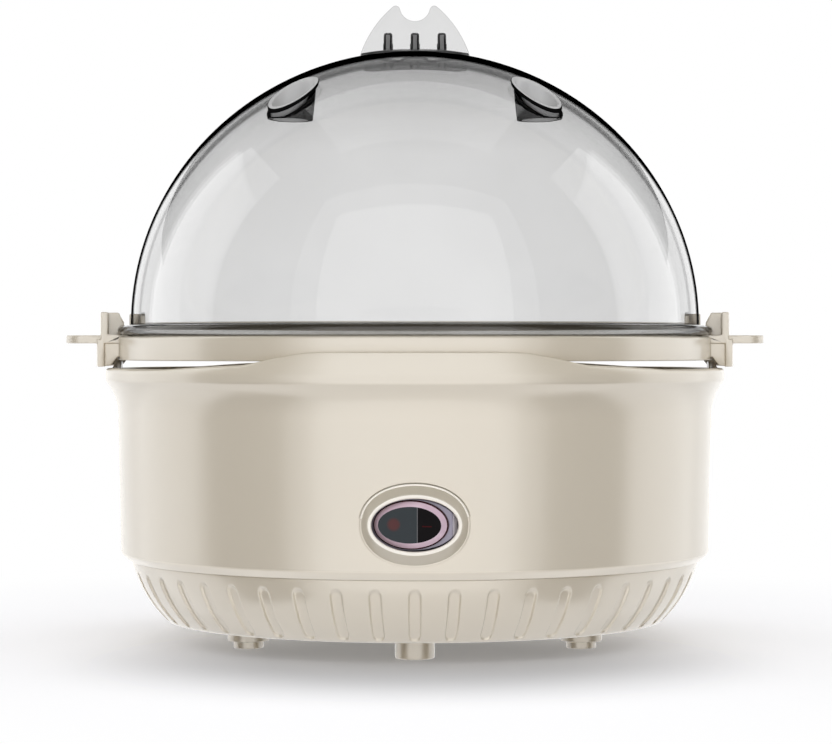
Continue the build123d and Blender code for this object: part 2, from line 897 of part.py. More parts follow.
# Egg tray: a deck with seven seats, an outer skirt, a short ring under the deck that turns
# drips back into the pan, and a low ridge that centres the dome.
deck_sheet = 2.0
skirt_wall = 1.6
inner_ring_radius = 65.2
inner_ring_bottom = 79.0
ridge_outer_radius = 76.8
ridge_height = 1.9
ridge_foot = 1.6
ridge_crest = (1.2, 0.4)
skirt_chamfer = 0.5
seat_chamfer = 1.4

# Grips at the left and right: a flat wing crossed by curved upright guards and a web.
wing_level = 82.4
wing_thickness = 2.2
wing_reach = 96.2
wing_half_width = 17.0
wing_taper = 2.0
wing_corner = 5.0
wing_root = 78.6
guard_half_angle = 11.0
guard_top_level = 91.0
guard_bottom_level = 76.0
upper_guard = (86.6, 1.8)
lower_guard = (87.6, 1.9)
web_half_thickness = 1.0
lower_web_reach = 15.3
web_root = 80.0
key_half_width = 4.0
key_root_level = tray_top_level - deck_sheet / 2

with BuildPart() as tray_grip:
    with BuildSketch(Plane.XY.offset(wing_level)):
        with BuildLine():
            Polyline(
                (wing_root, -wing_half_width),
                (wing_reach, -wing_half_width + wing_taper),
                (wing_reach, wing_half_width - wing_taper),
                (wing_root, wing_half_width),
                close=True,
            )
        make_face()
    extrude(amount=wing_thickness)
    fillet(tray_grip.edges().filter_by(Axis.Z).group_by(Axis.X)[-1], wing_corner)
    guard_root_level = wing_level + wing_thickness / 2
    with BuildSketch(radial_plane(-guard_half_angle)):
        with Locations((upper_guard[0], (wing_level + guard_top_level) / 2)):
            Rectangle(upper_guard[1], guard_top_level - wing_level)
        with Locations((lower_guard[0], (guard_bottom_level + guard_root_level) / 2)):
            Rectangle(lower_guard[1], guard_root_level - guard_bottom_level)
    revolve(axis=Axis.Z, revolution_arc=2 * guard_half_angle)
    with BuildSketch(Plane.XZ):
        with BuildLine():
            Polyline(
                (81.4, wing_level),
                (81.4, 88.2),
                (82.9, guard_top_level),
                (86.1, guard_top_level),
                (87.1, wing_level),
                close=True,
            )
        make_face()
    extrude(amount=web_half_thickness, both=True)
    for side in (-1, 1):
        with BuildSketch(Plane.XZ.offset(side * lower_web_reach)):
            with BuildLine():
                Polyline(
                    (web_root, guard_root_level),
                    (web_root, 79.2),
                    (81.6, 78.6),
                    (83.3, 76.4),
                    (86.0, guard_bottom_level),
                    (86.0, guard_root_level),
                    close=True,
                )
            make_face()
        extrude(amount=web_half_thickness, both=True)

with BuildPart() as tray_key:
    with BuildSketch(Plane.XZ):
        with BuildLine():
            Polyline(
                (76.3, key_root_level),
                (79.5, key_root_level),
                (79.5, 90.6),
                (76.6, 90.1),
                close=True,
            )
        make_face()
    extrude(amount=key_half_width, both=True)

with BuildPart() as egg_tray:
    deck_under = tray_top_level - deck_sheet
    with BuildSketch(Plane.XZ):
        with BuildLine():
            Polyline(
                (0, tray_top_level),
                (ridge_outer_radius - ridge_foot, tray_top_level),
                (ridge_outer_radius - ridge_crest[0], tray_top_level + ridge_height),
                (ridge_outer_radius - ridge_crest[1], tray_top_level + ridge_height),
                (ridge_outer_radius, tray_top_level),
                (skirt_radius - skirt_chamfer, tray_top_level),
                (skirt_radius, tray_top_level - skirt_chamfer),
                (skirt_radius, tray_bottom_level),
                (skirt_radius - skirt_wall, tray_bottom_level),
                (skirt_radius - skirt_wall, deck_under),
                (inner_ring_radius, deck_under),
                (inner_ring_radius, inner_ring_bottom),
                (inner_ring_radius - skirt_wall, inner_ring_bottom),
                (inner_ring_radius - skirt_wall, deck_under),
                (0, deck_under),
                close=True,
            )
        make_face()
    revolve(axis=Axis.Z)
    with BuildSketch(Plane.XY.offset(deck_under)) as egg_holes:
        Circle(egg_hole_radius)
        with PolarLocations(egg_circle, 6):
            Circle(egg_hole_radius)
    extrude(amount=deck_sheet, mode=Mode.SUBTRACT)
    chamfer(
        egg_tray.edges().filter_by(GeomType.CIRCLE).filter_by(
            lambda edge: abs(edge.radius - egg_hole_radius) < fit_gap
        ).group_by(Axis.Z)[-1],
        seat_chamfer,
    )
    with PolarLocations(0, 2):
        add(tray_grip.part)
        add(tray_key.part)
finish(egg_tray.part, "egg_tray")


# Dome: half an ellipsoid shell on a rounded flange, with holes for two steam vents.
flange_bottom = tray_top_level + rest_gap
flange_top = 87.4
flange_radius = 82.9
flange_round = 1.4
vent_spot = (33.0, -34.0)
vent_bottom_radius = 5.9
vent_wall = 1.3
vent_bottom_level = 141.6
vent_end_level = 156.0
vent_end_radius = 7.8
vent_bead = 0.8
notch_top_level = 91.2
notch_radius = 77.9
slot_radius = 83.0
slot_depth = 4.0
key_gap = 0.5
web_gap = 0.4
flange_cut_level = flange_bottom - 1.0
pin_slot = (3.1, 4.4)
handle_ribs = (-7.5, 0.0, 7.5)
crown_cut_level = 150.0
crown_cut_height = 20.0

with BuildPart() as vent_cones:
    for side in (-1, 1):
        with BuildSketch(Plane.XY.offset(vent_bottom_level)):
            with Locations((side * vent_spot[0], vent_spot[1])):
                Circle(vent_bottom_radius)
        with BuildSketch(Plane.XY.offset(vent_end_level)):
            with Locations((side * vent_spot[0], vent_spot[1])):
                Circle(vent_end_radius)
        loft()

with BuildPart() as steam_vents:
    add(vent_cones.part)
    add(ellipsoid_cap(vent_bead), mode=Mode.INTERSECT)
    for side in (-1, 1):
        with BuildSketch(Plane.XY.offset(vent_bottom_level)):
            with Locations((side * vent_spot[0], vent_spot[1])):
                Circle(vent_bottom_radius - vent_wall)
        with BuildSketch(Plane.XY.offset(vent_end_level)):
            with Locations((side * vent_spot[0], vent_spot[1])):
                Circle(vent_end_radius - vent_wall)
        loft(mode=Mode.SUBTRACT)
finish(steam_vents.part, "steam_vents")

with BuildPart() as lid_dome:
    with BuildSketch(Plane.XZ):
        with BuildLine():
            EllipticalCenterArc((0, dome_base_level), dome_radius, dome_height, 0, arc_size=90)
            Line(
                (0, dome_base_level + dome_height),
                (0, dome_base_level + dome_height - dome_wall),
            )
            EllipticalCenterArc(
                (0, dome_base_level), dome_radius - dome_wall, dome_height - dome_wall, 0, arc_size=90
            )
            Polyline(
                (dome_radius - dome_wall, dome_base_level),
                (dome_radius - dome_wall, flange_bottom),
                (flange_radius - flange_round, flange_bottom),
            )
            ThreePointArc(
                (flange_radius - flange_round, flange_bottom),
                (flange_radius, (flange_bottom + flange_top) / 2),
                (flange_radius - flange_round, flange_top),
            )
            Polyline(
                (flange_radius - flange_round, flange_top),
                (dome_radius, flange_top),
                (dome_radius, dome_base_level),
            )
        make_face()
    revolve(axis=Axis.Z)
    add(vent_cones.part, mode=Mode.SUBTRACT)
    with BuildSketch(Plane.XY.offset(flange_cut_level)):
        with PolarLocations(notch_radius, 2):
            Rectangle(slot_depth, 2 * (key_half_width + key_gap))
    extrude(amount=notch_top_level - flange_cut_level, mode=Mode.SUBTRACT)
    with BuildSketch(Plane.XY.offset(flange_cut_level)):
        with PolarLocations(slot_radius, 2):
            Rectangle(slot_depth, 2 * (web_half_thickness + web_gap))
    extrude(amount=flange_top - flange_cut_level + 1, mode=Mode.SUBTRACT)
    with BuildSketch(Plane.XY.offset(crown_cut_level)):
        for rib_x in handle_ribs:
            with Locations((rib_x, 0)):
                Rectangle(*pin_slot)
    extrude(amount=crown_cut_height, mode=Mode.SUBTRACT)
finish(lid_dome.part, "lid_dome")


# Lid handle: a base plate that follows the dome, a notched fin, three cross ribs, and
# under each rib a split snap pin that goes through the dome.
plate_size = (30.2, 26.0)
plate_corner = 6.0
plate_thickness = 0.6
fin_half_thickness = 1.0
rib_half_width = 1.2
rib_half_length = 8.0
handle_root = 159.6
pin_inner = 0.5
pin_outer = 1.35
pin_barb = 1.75
pin_tip = 1.1
pin_root = 166.0
prong_bottom = 159.8
prong_half_depth = 2.0

# Near its top the dome is as round as a sphere of this radius.
crown_radius = dome_radius**2 / dome_height
crown_centre = (0, 0, dome_base_level + dome_height - crown_radius)

with BuildPart() as base_plate:
    with BuildSketch(Plane.XY.offset(crown_cut_level)):
        RectangleRounded(*plate_size, plate_corner)
    extrude(amount=crown_cut_height)
    with Locations(crown_centre):
        Sphere(crown_radius + plate_thickness, rotation=(90, 0, 0), mode=Mode.INTERSECT)

with BuildPart() as fin_and_ribs:
    with BuildSketch(Plane.XZ):
        with BuildLine():
            ThreePointArc((15.1, 163.6), (11.2, 171.0), (6.1, 176.5))
            ThreePointArc((6.1, 176.5), (5.1, 176.7), (4.2, 175.9))
            ThreePointArc((4.2, 175.9), (3.0, 173.6), (0, 172.4))
            Polyline((0, 172.4), (0, handle_root), (15.1, handle_root), (15.1, 163.6))
        make_face()
        mirror(about=Plane.YZ)
    extrude(amount=fin_half_thickness, both=True)
    for rib_x in handle_ribs:
        with BuildSketch(Plane.YZ.offset(rib_x - rib_half_width)):
            with BuildLine():
                rib_foot = Polyline(
                    (-rib_half_length, 163.9),
                    (-rib_half_length, handle_root),
                    (rib_half_length, handle_root),
                    (rib_half_length, 163.9),
                    (2.4, 168.4),
                )
                ThreePointArc(rib_foot @ 1, (0, 169.2), (-2.4, 168.4))
                Line((-2.4, 168.4), rib_foot @ 0)
            make_face()
        extrude(amount=2 * rib_half_width)

with BuildPart() as snap_pins:
    for rib_x in handle_ribs:
        with BuildSketch(Plane.XZ):
            for side in (-1, 1):
                with BuildLine():
                    Polyline(
                        (rib_x + side * pin_inner, pin_root),
                        (rib_x + side * pin_outer, pin_root),
                        (rib_x + side * pin_outer, 161.6),
                        (rib_x + side * pin_barb, 161.3),
                        (rib_x + side * pin_tip, prong_bottom),
                        (rib_x + side * pin_inner, prong_bottom),
                        close=True,
                    )
                make_face()
        extrude(amount=prong_half_depth, both=True)

with BuildPart() as lid_handle:
    add(base_plate.part)
    add(fin_and_ribs.part)
    with Locations(crown_centre):
        Sphere(crown_radius, rotation=(90, 0, 0), mode=Mode.SUBTRACT)
    add(snap_pins.part)
finish(lid_handle.part, "lid_handle")
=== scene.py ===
# %% [markdown]
# # An electric egg cooker, dressed in Blender
#
# The object is a round egg cooker: a ribbed bowl at the bottom, a housing with an oval rocker
# switch, a tray with two grips, and a smoked dome with a clear fin on top. The solids, their
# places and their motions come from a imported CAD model. This file only gives them their looks.
#
# Every piece is in metres in the CAD model's own frame: the middle axis is Z, the floor is z = 0,
# and the switch faces -Y. Sizes are written in millimetres and turned into metres in one place.

import math

import bmesh
import bpy
import numpy as np
from mathutils import Matrix, Vector


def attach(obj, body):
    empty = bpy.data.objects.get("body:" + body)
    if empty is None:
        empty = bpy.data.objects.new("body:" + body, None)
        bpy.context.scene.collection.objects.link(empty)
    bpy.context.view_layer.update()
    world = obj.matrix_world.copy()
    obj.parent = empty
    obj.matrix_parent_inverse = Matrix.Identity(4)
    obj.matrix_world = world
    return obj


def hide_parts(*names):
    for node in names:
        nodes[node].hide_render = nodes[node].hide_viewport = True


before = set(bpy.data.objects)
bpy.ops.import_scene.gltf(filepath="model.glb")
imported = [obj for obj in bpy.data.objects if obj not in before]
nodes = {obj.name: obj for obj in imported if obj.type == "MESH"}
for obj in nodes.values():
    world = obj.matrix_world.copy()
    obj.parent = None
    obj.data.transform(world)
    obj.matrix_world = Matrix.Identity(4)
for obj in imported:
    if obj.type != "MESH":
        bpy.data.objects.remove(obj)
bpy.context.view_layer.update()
scene = bpy.context.scene
MM = 0.001

# %% [markdown]
# ## Small helpers for node trees
#
# A node tree can be drawn by hand in the editor or written in a script. Written, it can be read,
# compared and changed in one place. The first helpers add a node and wire its inputs. The next
# ones name the few nodes that come back all the time: a sum, a distance, a range, a noise and a
# blend of two colours. The last one opens a group with named sockets, and reads their kind from
# the value that each starts with.


# %% Node helpers
def wire(tree, socket, value):
    """Link the socket to another socket, or set its number."""
    if isinstance(value, bpy.types.NodeSocket):
        tree.links.new(value, socket)
    else:
        socket.default_value = value


def add_node(tree, kind, inputs=None, **settings):
    """A new node with these settings and inputs."""
    made = tree.nodes.new(kind)
    for name, value in settings.items():
        setattr(made, name, value)
    for name, value in (inputs or {}).items():
        wire(tree, made.inputs[name], value)
    return made


def maths(tree, operation, *terms):
    """The result of one sum on one to three terms."""
    made = add_node(tree, "ShaderNodeMath", operation=operation)
    for socket, term in zip(made.inputs, terms):
        wire(tree, socket, term)
    return made.outputs[0]


def sums_in(tree):
    """A short name for maths in one tree, where a cell has many sums."""

    def do(operation, *terms):
        return maths(tree, operation, *terms)

    return do


def distance(tree, x, y):
    """How far the point (x, y) lies from zero."""
    squared = maths(tree, "MULTIPLY_ADD", x, x, maths(tree, "MULTIPLY", y, y))
    return maths(tree, "SQRT", squared)


def map_range(tree, value, low, high, to_low=0.0, to_high=1.0, smooth=False):
    """The value, carried from one range to another and held inside it."""
    ends = {"Value": value, "From Min": low, "From Max": high, "To Min": to_low, "To Max": to_high}
    kind = "SMOOTHSTEP" if smooth else "LINEAR"
    made = add_node(tree, "ShaderNodeMapRange", ends, interpolation_type=kind)
    return made.outputs["Result"]


def noise(tree, place, scale, detail):
    """A cloudy pattern from 0 to 1."""
    sizes = {"Vector": place, "Scale": scale, "Detail": detail}
    return add_node(tree, "ShaderNodeTexNoise", sizes).outputs["Fac"]


def mixed(tree, share, first, second):
    """The first colour, turned into the second by this share."""
    blend = add_node(tree, "ShaderNodeMix", {0: share, 6: first, 7: second}, data_type="RGBA")
    return blend.outputs[2]


# %% Group helper
SOCKET_KINDS = {float: "Float", int: "Int", tuple: "Color"}


def open_group(name, kind, inputs, outputs):
    """A node group with these sockets; an input is given by its start value or its kind."""
    tree = bpy.data.node_groups.new(name, kind)
    for label, start in inputs.items():
        word = start if isinstance(start, str) else SOCKET_KINDS[type(start)]
        socket = tree.interface.new_socket(label, in_out="INPUT", socket_type="NodeSocket" + word)
        if not isinstance(start, str):
            socket.default_value = start
    for label, word in outputs.items():
        tree.interface.new_socket(label, in_out="OUTPUT", socket_type="NodeSocket" + word)
    given = tree.nodes.new("NodeGroupInput").outputs
    result = tree.nodes.new("NodeGroupOutput").inputs
    return tree, given, result


# %% [markdown]
# ## The room: camera, floor and light
#
# The photograph is a product picture on pure white with a soft shadow. The camera stands about
# 0.8 m in front, level with the rim, with a long lens. A white background is easy to fake with
# strong lamps, but then the cream plastic burns out. Here the light stays plain, and the floor and
# the world only look white to the camera and in mirrors: Light Path tells those rays apart. On top
# of the real shadow, a painted shadow darkens the paper under the cooker and a little in front of
# it, the paper near it is tinted a little blue so that the shadow looks cool, and the paper fades
# to white round it.
#
# The wall of the real cooker shows how it was lit. It is bright in the middle, darker in two broad
# bands and bright again along its outline. That is one large soft box in front, a dark gap at each
# side of it and white walls further back. Two dark flags make the gaps here, and one behind and one
# above darken the crown of the dome. The object mirrors the boxes and flags below the level of the
# floor too, as it would on a glass table, so the floor is left out of its mirror image.

# %% Camera
PHOTO_WIDTH = 832
FOCAL_PIXELS = 2830
SENSOR_WIDTH = 36.0
CAMERA_PLACE = (0.0003, -0.792, 0.082)
CAMERA_DIP = 0.55
camera = bpy.data.objects.new("camera", bpy.data.cameras.new("camera"))
scene.collection.objects.link(camera)
camera.data.sensor_width = SENSOR_WIDTH
camera.data.lens = SENSOR_WIDTH * FOCAL_PIXELS / PHOTO_WIDTH
camera.data.clip_start = 0.05
camera.location = CAMERA_PLACE
camera.rotation_euler = (math.radians(90 - CAMERA_DIP), 0, 0)
scene.camera = camera
scene.view_settings.view_transform = "Standard"
print("lens:", round(camera.data.lens, 1), "mm")


# %% World
def light_path(tree):
    """The Light Path sockets, and 1 where the camera looks, also through clear plastic."""
    path = add_node(tree, "ShaderNodeLightPath").outputs
    return path, maths(tree, "MAXIMUM", path["Is Camera Ray"], path["Is Transmission Ray"])


WORLD_LIGHT = 0.4
WORLD_SHINE = 1.5
world = bpy.data.worlds.new("studio")
scene.world = world
world.use_nodes = True
sky = world.node_tree
sky.nodes.clear()
path, seen = light_path(sky)
unseen = maths(sky, "MULTIPLY_ADD", path["Is Glossy Ray"], WORLD_SHINE - WORLD_LIGHT, WORLD_LIGHT)
strength = map_range(sky, seen, 0.0, 1.0, unseen, 1.0)
background = {"Color": (1, 1, 1, 1), "Strength": strength}
background = add_node(sky, "ShaderNodeBackground", background).outputs[0]
add_node(sky, "ShaderNodeOutputWorld", {"Surface": background})
print("world light:", WORLD_LIGHT, "in mirrors:", WORLD_SHINE)

# %% Floor
FLOOR_HALF = 8.0
square = ((-1, -1), (1, -1), (1, 1), (-1, 1))
floor_mesh = bpy.data.meshes.new("floor")
floor_corners = [(x * FLOOR_HALF, y * FLOOR_HALF, 0) for x, y in square]
floor_mesh.from_pydata(floor_corners, [], [(0, 1, 2, 3)])
floor = bpy.data.objects.new("floor", floor_mesh)
scene.collection.objects.link(floor)
floor.visible_glossy = False
print("floor half width:", FLOOR_HALF, "m")

# %% White paper with a painted shadow
FLOOR_COLOUR = 0.75
FLOOR_GAIN = 0.8
FLOOR_GLOW = 0.3
# The paper near the cooker is tinted a little blue, so that its painted and real shadow look cool.
SHADOW_TINT = (0.985, 0.985, 1.02)
SHADE_OFFSET = (0.0, 0.06, 0.0)
SHADE_START, SHADE_END = 0.035, 0.105
SHADE_LEVEL = 0.55
FADE_START, FADE_END = 0.07, 0.26
paper = bpy.data.materials.new("white_paper")
paper.use_nodes = True
sheet = paper.node_tree
sheet.nodes.clear()
spot = add_node(sheet, "ShaderNodeTexCoord").outputs["Object"]
shifted = add_node(
    sheet, "ShaderNodeVectorMath", {0: spot, 1: SHADE_OFFSET}, operation="ADD"
).outputs[0]
away, reach = [
    add_node(sheet, "ShaderNodeVectorMath", {0: point}, operation="LENGTH").outputs["Value"]
    for point in (shifted, spot)
]
# Painted shadow: for the camera, the paper darkens towards a spot a little in front of the middle.
shade = map_range(sheet, away, SHADE_START, SHADE_END, SHADE_LEVEL, 1.0, smooth=True)
path, looked_at = light_path(sheet)
lit = maths(sheet, "MULTIPLY", shade, FLOOR_GAIN)
brightness = map_range(sheet, looked_at, 0.0, 1.0, FLOOR_COLOUR, lit)
white = add_node(sheet, "ShaderNodeCombineColor")
for channel, tint in zip(white.inputs, SHADOW_TINT):
    wire(sheet, channel, maths(sheet, "MULTIPLY", brightness, tint))
diffuse = add_node(sheet, "ShaderNodeBsdfDiffuse", {"Color": white.outputs[0]})
glow = maths(sheet, "MULTIPLY", maths(sheet, "MULTIPLY", looked_at, shade), FLOOR_GLOW)
glow = add_node(sheet, "ShaderNodeEmission", {"Strength": glow})
near = add_node(sheet, "ShaderNodeAddShader", {0: diffuse.outputs[0], 1: glow.outputs[0]})
far = add_node(sheet, "ShaderNodeEmission", {"Strength": 1.0})
fade = map_range(sheet, reach, FADE_START, FADE_END, smooth=True)
fade = maths(sheet, "MULTIPLY", fade, looked_at)
surface = add_node(
    sheet, "ShaderNodeMixShader", {0: fade, 1: near.outputs[0], 2: far.outputs[0]}
)
add_node(sheet, "ShaderNodeOutputMaterial", {"Surface": surface.outputs[0]})
floor_mesh.materials.append(paper)
print("paper nodes:", len(sheet.nodes))

# %% Lamps
AIM = (0, 0, 0.09)
SHINE_DEPTH = 1.0
SHINE_SPREAD = 1.02


def soft_box(name, place, size, radiance, turned_to=AIM):
    """A rectangular lamp of even brightness, turned to a point at the object."""
    lamp = bpy.data.lights.new(name, "AREA")
    lamp.shape = "RECTANGLE"
    lamp.size, lamp.size_y = size
    lamp.energy = radiance * math.pi * size[0] * size[1]
    holder = bpy.data.objects.new(name, lamp)
    scene.collection.objects.link(holder)
    holder.location = place
    aim = Vector(turned_to) - Vector(place)
    holder.rotation_euler = aim.to_track_quat("-Z", "Y").to_euler()
    return holder


def only_mirrored(lamp):
    """Let the object mirror the lamp, without light from it."""
    lamp.visible_diffuse = False
    lamp.visible_camera = False
    lamp.visible_transmission = False


def box_pair(name, place, size, light, shine):
    """A lamp that lights the object and a taller twin, down past the floor, that it mirrors."""
    x, y, level = place
    top = level + size[1] / 2
    soft_box(name, place, size, light, turned_to=(0, 0, level)).visible_glossy = False
    low_place = (x * SHINE_SPREAD, y * SHINE_SPREAD, 0.5 * (top - SHINE_DEPTH))
    tall = (size[0], top + SHINE_DEPTH)
    only_mirrored(soft_box(name + "_shine", low_place, tall, shine, turned_to=(0, 0, low_place[2])))


box_pair("front_box", (0, -1.1, 0.72), (1.75, 1.4), 1.2, 1.65)
for name, side in (("left_box", -1), ("right_box", 1)):
    box_pair(name, (side * 1.15, 0.4, 0.6), (0.95, 1.15), 1.6, 0.65)
soft_box("top_box", (0, 0.3, 1.45), (1.2, 1.0), 1.6).visible_glossy = False
only_mirrored(soft_box("under_shine", (0, -0.25, -0.95), (2.2, 1.6), 0.6, turned_to=(0, -0.25, 0)))
print("lamps:", [lamp.name for lamp in bpy.data.lights])

# %% Flags
FLAG_FRONT, FLAG_BACK = math.radians(48), math.radians(84)
FLAG_REACH = 1.08
FLAG_TOP = 1.4
BOARD_SIDE, BOARD_DEPTH = 1.3, 0.9
BACK_LOW, BACK_HIGH = 0.42, 2.3
CEILING = 1.6
felt = bpy.data.materials.new("black_felt")
felt.use_nodes = True
cloth = felt.node_tree.nodes["Principled BSDF"].inputs
cloth["Base Color"].default_value = (0.03, 0.03, 0.03, 1)
cloth["Specular IOR Level"].default_value = 0.0


def flag(name, corners):
    """A dark board between these corners, which only mirrors and lamps notice."""
    board = bpy.data.meshes.new(name)
    board.from_pydata(corners, [], [(0, 1, 2, 3)])
    board.materials.append(felt)
    holder = bpy.data.objects.new(name, board)
    scene.collection.objects.link(holder)
    holder.visible_camera = False
    holder.visible_transmission = False
    return holder


def upright(start, end, low, high):
    """The corners of an upright board from start to end."""
    return [(*start, low), (*end, low), (*end, high), (*start, high)]


for name, side in (("left_flag", -1), ("right_flag", 1)):
    front, back = [
        (side * FLAG_REACH * math.sin(turn), -FLAG_REACH * math.cos(turn))
        for turn in (FLAG_FRONT, FLAG_BACK)
    ]
    flag(name, upright(front, back, -SHINE_DEPTH, FLAG_TOP))
back_ends = (-BOARD_SIDE, BOARD_DEPTH), (BOARD_SIDE, BOARD_DEPTH)
flag("back_flag", upright(*back_ends, BACK_LOW, BACK_HIGH))
ceiling = flag("top_flag", [(x * BOARD_SIDE, y * BOARD_DEPTH, CEILING) for x, y in square])
ceiling.visible_diffuse = False
ceiling.visible_shadow = False
print("back flag from", BACK_LOW, "to", BACK_HIGH, "m, ceiling at", CEILING, "m")

# %% [markdown]
# ## Surface effects that several finishes share
#
# Moulded plastic is never one flat colour: the melt mottles it slightly, the mould leaves a fine
# grain, and its gloss differs a little from place to place. Bare metal shows turning or rolling
# lines. Each effect is one node group with named inputs, so every finish gives it its own sizes.
# The groups put out colours, roughness and heights only, and the shaders stay in the materials.


# %% Colours
def paint(red, green, blue):
    """A screen colour, 0 to 255, as the linear numbers that shaders take."""
    screen = (red, green, blue)
    linear = [((c / 255 + 0.055) / 1.055) ** 2.4 if c > 10 else c / 3294.6 for c in screen]
    return (*linear, 1.0)


WHITE = paint(255, 255, 255)
BLACK = paint(0, 0, 0)

# %% Group: moulded surface
SURFACE_OUTPUTS = {"Colour": "Color", "Roughness": "Float", "Height": "Float"}
tree, given, result = open_group(
    "moulded_surface",
    "ShaderNodeTree",
    {
        "Vector": "Vector",
        "Colour": WHITE,
        "Second Colour": WHITE,
        "Mottle Scale": 30.0,
        "Grain Scale": 2500.0,
        "Roughness": 0.4,
        "Roughness Spread": 0.1,
    },
    SURFACE_OUTPUTS,
)
mottle = noise(tree, given["Vector"], given["Mottle Scale"], 3.0)
swing = maths(tree, "SUBTRACT", mottle, 0.5)
rough = maths(tree, "MULTIPLY_ADD", swing, given["Roughness Spread"], given["Roughness"])
wire(tree, result["Colour"], mixed(tree, mottle, given["Colour"], given["Second Colour"]))
wire(tree, result["Roughness"], rough)
wire(tree, result["Height"], noise(tree, given["Vector"], given["Grain Scale"], 2.0))
moulded_surface = tree
print(tree.name, "nodes:", len(tree.nodes))

# %% Group: turned metal
tree, given, result = open_group(
    "turned_metal",
    "ShaderNodeTree",
    {
        "Vector": "Vector",
        "Colour": WHITE,
        "Stain Colour": WHITE,
        "Stain Scale": 45.0,
        "Line Scale": 1500.0,
        "Roughness": 0.3,
        "Line Roughness": 0.16,
    },
    SURFACE_OUTPUTS,
)
part = add_node(tree, "ShaderNodeSeparateXYZ", {"Vector": given["Vector"]}).outputs
across = distance(tree, part["Y"], part["X"])
where = add_node(tree, "ShaderNodeCombineXYZ", {"X": across, "Z": part["Z"]}).outputs[0]
lines = noise(tree, where, given["Line Scale"], 2.0)
stain = map_range(tree, noise(tree, given["Vector"], given["Stain Scale"], 4.0), 0.52, 0.72)
rough = maths(tree, "MULTIPLY_ADD", lines, given["Line Roughness"], given["Roughness"])
wire(tree, result["Colour"], mixed(tree, stain, given["Colour"], given["Stain Colour"]))
wire(tree, result["Roughness"], rough)
wire(tree, result["Height"], lines)
turned_metal = tree
print(tree.name, "nodes:", len(tree.nodes))

# %% Material builders
finishes = {}
GRAIN_RELIEF = 0.0001
LINE_RELIEF = 0.00005


def new_finish(name, **sockets):
    """A material with one Principled shader, plus Object coordinates to hang patterns on."""
    finish = finishes[name] = bpy.data.materials.new(name)
    finish.use_nodes = True
    tree = finish.node_tree
    shader = tree.nodes["Principled BSDF"]
    for label, value in sockets.items():
        shader.inputs[label.replace("_", " ")].default_value = value
    return tree, shader, add_node(tree, "ShaderNodeTexCoord").outputs["Object"]


def apply_effect(tree, shader, effect, values, bump, relief):
    """Place an effect group and let it drive colour, roughness and a fine bump."""
    group = add_node(tree, "ShaderNodeGroup", values, node_tree=effect).outputs
    wire(tree, shader.inputs["Base Color"], group["Colour"])
    wire(tree, shader.inputs["Roughness"], group["Roughness"])
    heights = {"Height": group["Height"], "Strength": bump, "Distance": relief}
    wire(tree, shader.inputs["Normal"], add_node(tree, "ShaderNodeBump", heights).outputs[0])


def moulded(name, colour, second, rough=0.4, spread=0.1, bump=0.15, **sockets):
    """A moulded plastic of two close colours."""
    tree, shader, place = new_finish(name, **sockets)
    values = {
        "Vector": place,
        "Colour": paint(*colour),
        "Second Colour": paint(*second),
        "Roughness": rough,
        "Roughness Spread": spread,
    }
    apply_effect(tree, shader, moulded_surface, values, bump, GRAIN_RELIEF)


def metal(name, colour, stain, rough=0.3, lines=1500.0, bump=0.2):
    """A bare metal with turning or rolling lines."""
    tree, shader, place = new_finish(name, Metallic=1.0)
    values = {
        "Vector": place,
        "Colour": paint(*colour),
        "Stain Colour": paint(*stain),
        "Line Scale": lines,
        "Roughness": rough,
    }
    apply_effect(tree, shader, turned_metal, values, bump, LINE_RELIEF)


# %% [markdown]
# ## The finishes
#
# Each slot of the CAD record gets one finish. The cream plastic is satin and slightly warm. The
# inner parts are the plain stock of an appliance maker: black and white plastics, brass, steel,
# white silicone and coloured wire sleeves.

# %% Plain finishes
cream_gloss = {"rough": 0.22, "bump": 0.02, "Specular_IOR_Level": 0.95}
moulded("cream_plastic", (216, 207, 190), (213, 203, 185), **cream_gloss)
moulded("black_plastic", (26, 26, 28), (36, 36, 38), rough=0.45)
moulded("white_plastic", (226, 225, 220), (214, 212, 205), rough=0.5)
moulded("gland_plastic", (208, 201, 188), (198, 190, 176), rough=0.5)
moulded("silicone_seal", (222, 222, 219), (210, 209, 205), rough=0.6)
moulded("brown_sleeve", (92, 54, 32), (80, 46, 26))
moulded("blue_sleeve", (40, 88, 168), (34, 76, 150))
metal("brass_blade", (214, 178, 96), (160, 120, 60), rough=0.25)
metal("steel_pan", (200, 200, 200), (168, 160, 150), rough=0.18, lines=900.0, bump=0.06)
metal("steel_tube", (150, 148, 145), (96, 88, 84), rough=0.35)
metal("steel_sheet", (190, 190, 192), (150, 146, 140))
metal("steel_screw", (196, 192, 180), (140, 132, 116), rough=0.28)
print("finishes so far:", len(finishes))

# %% Striped earth sleeve
tree, shader, place = new_finish("green_yellow_sleeve", Roughness=0.4)
stripes = add_node(
    tree,
    "ShaderNodeTexWave",
    {"Vector": place, "Scale": 120.0, "Distortion": 0.4},
    bands_direction="DIAGONAL",
).outputs["Fac"]
stripes = map_range(tree, stripes, 0.45, 0.55)
colour = mixed(tree, stripes, paint(60, 140, 60), paint(222, 204, 50))
wire(tree, shader.inputs["Base Color"], colour)
print("finishes so far:", len(finishes))
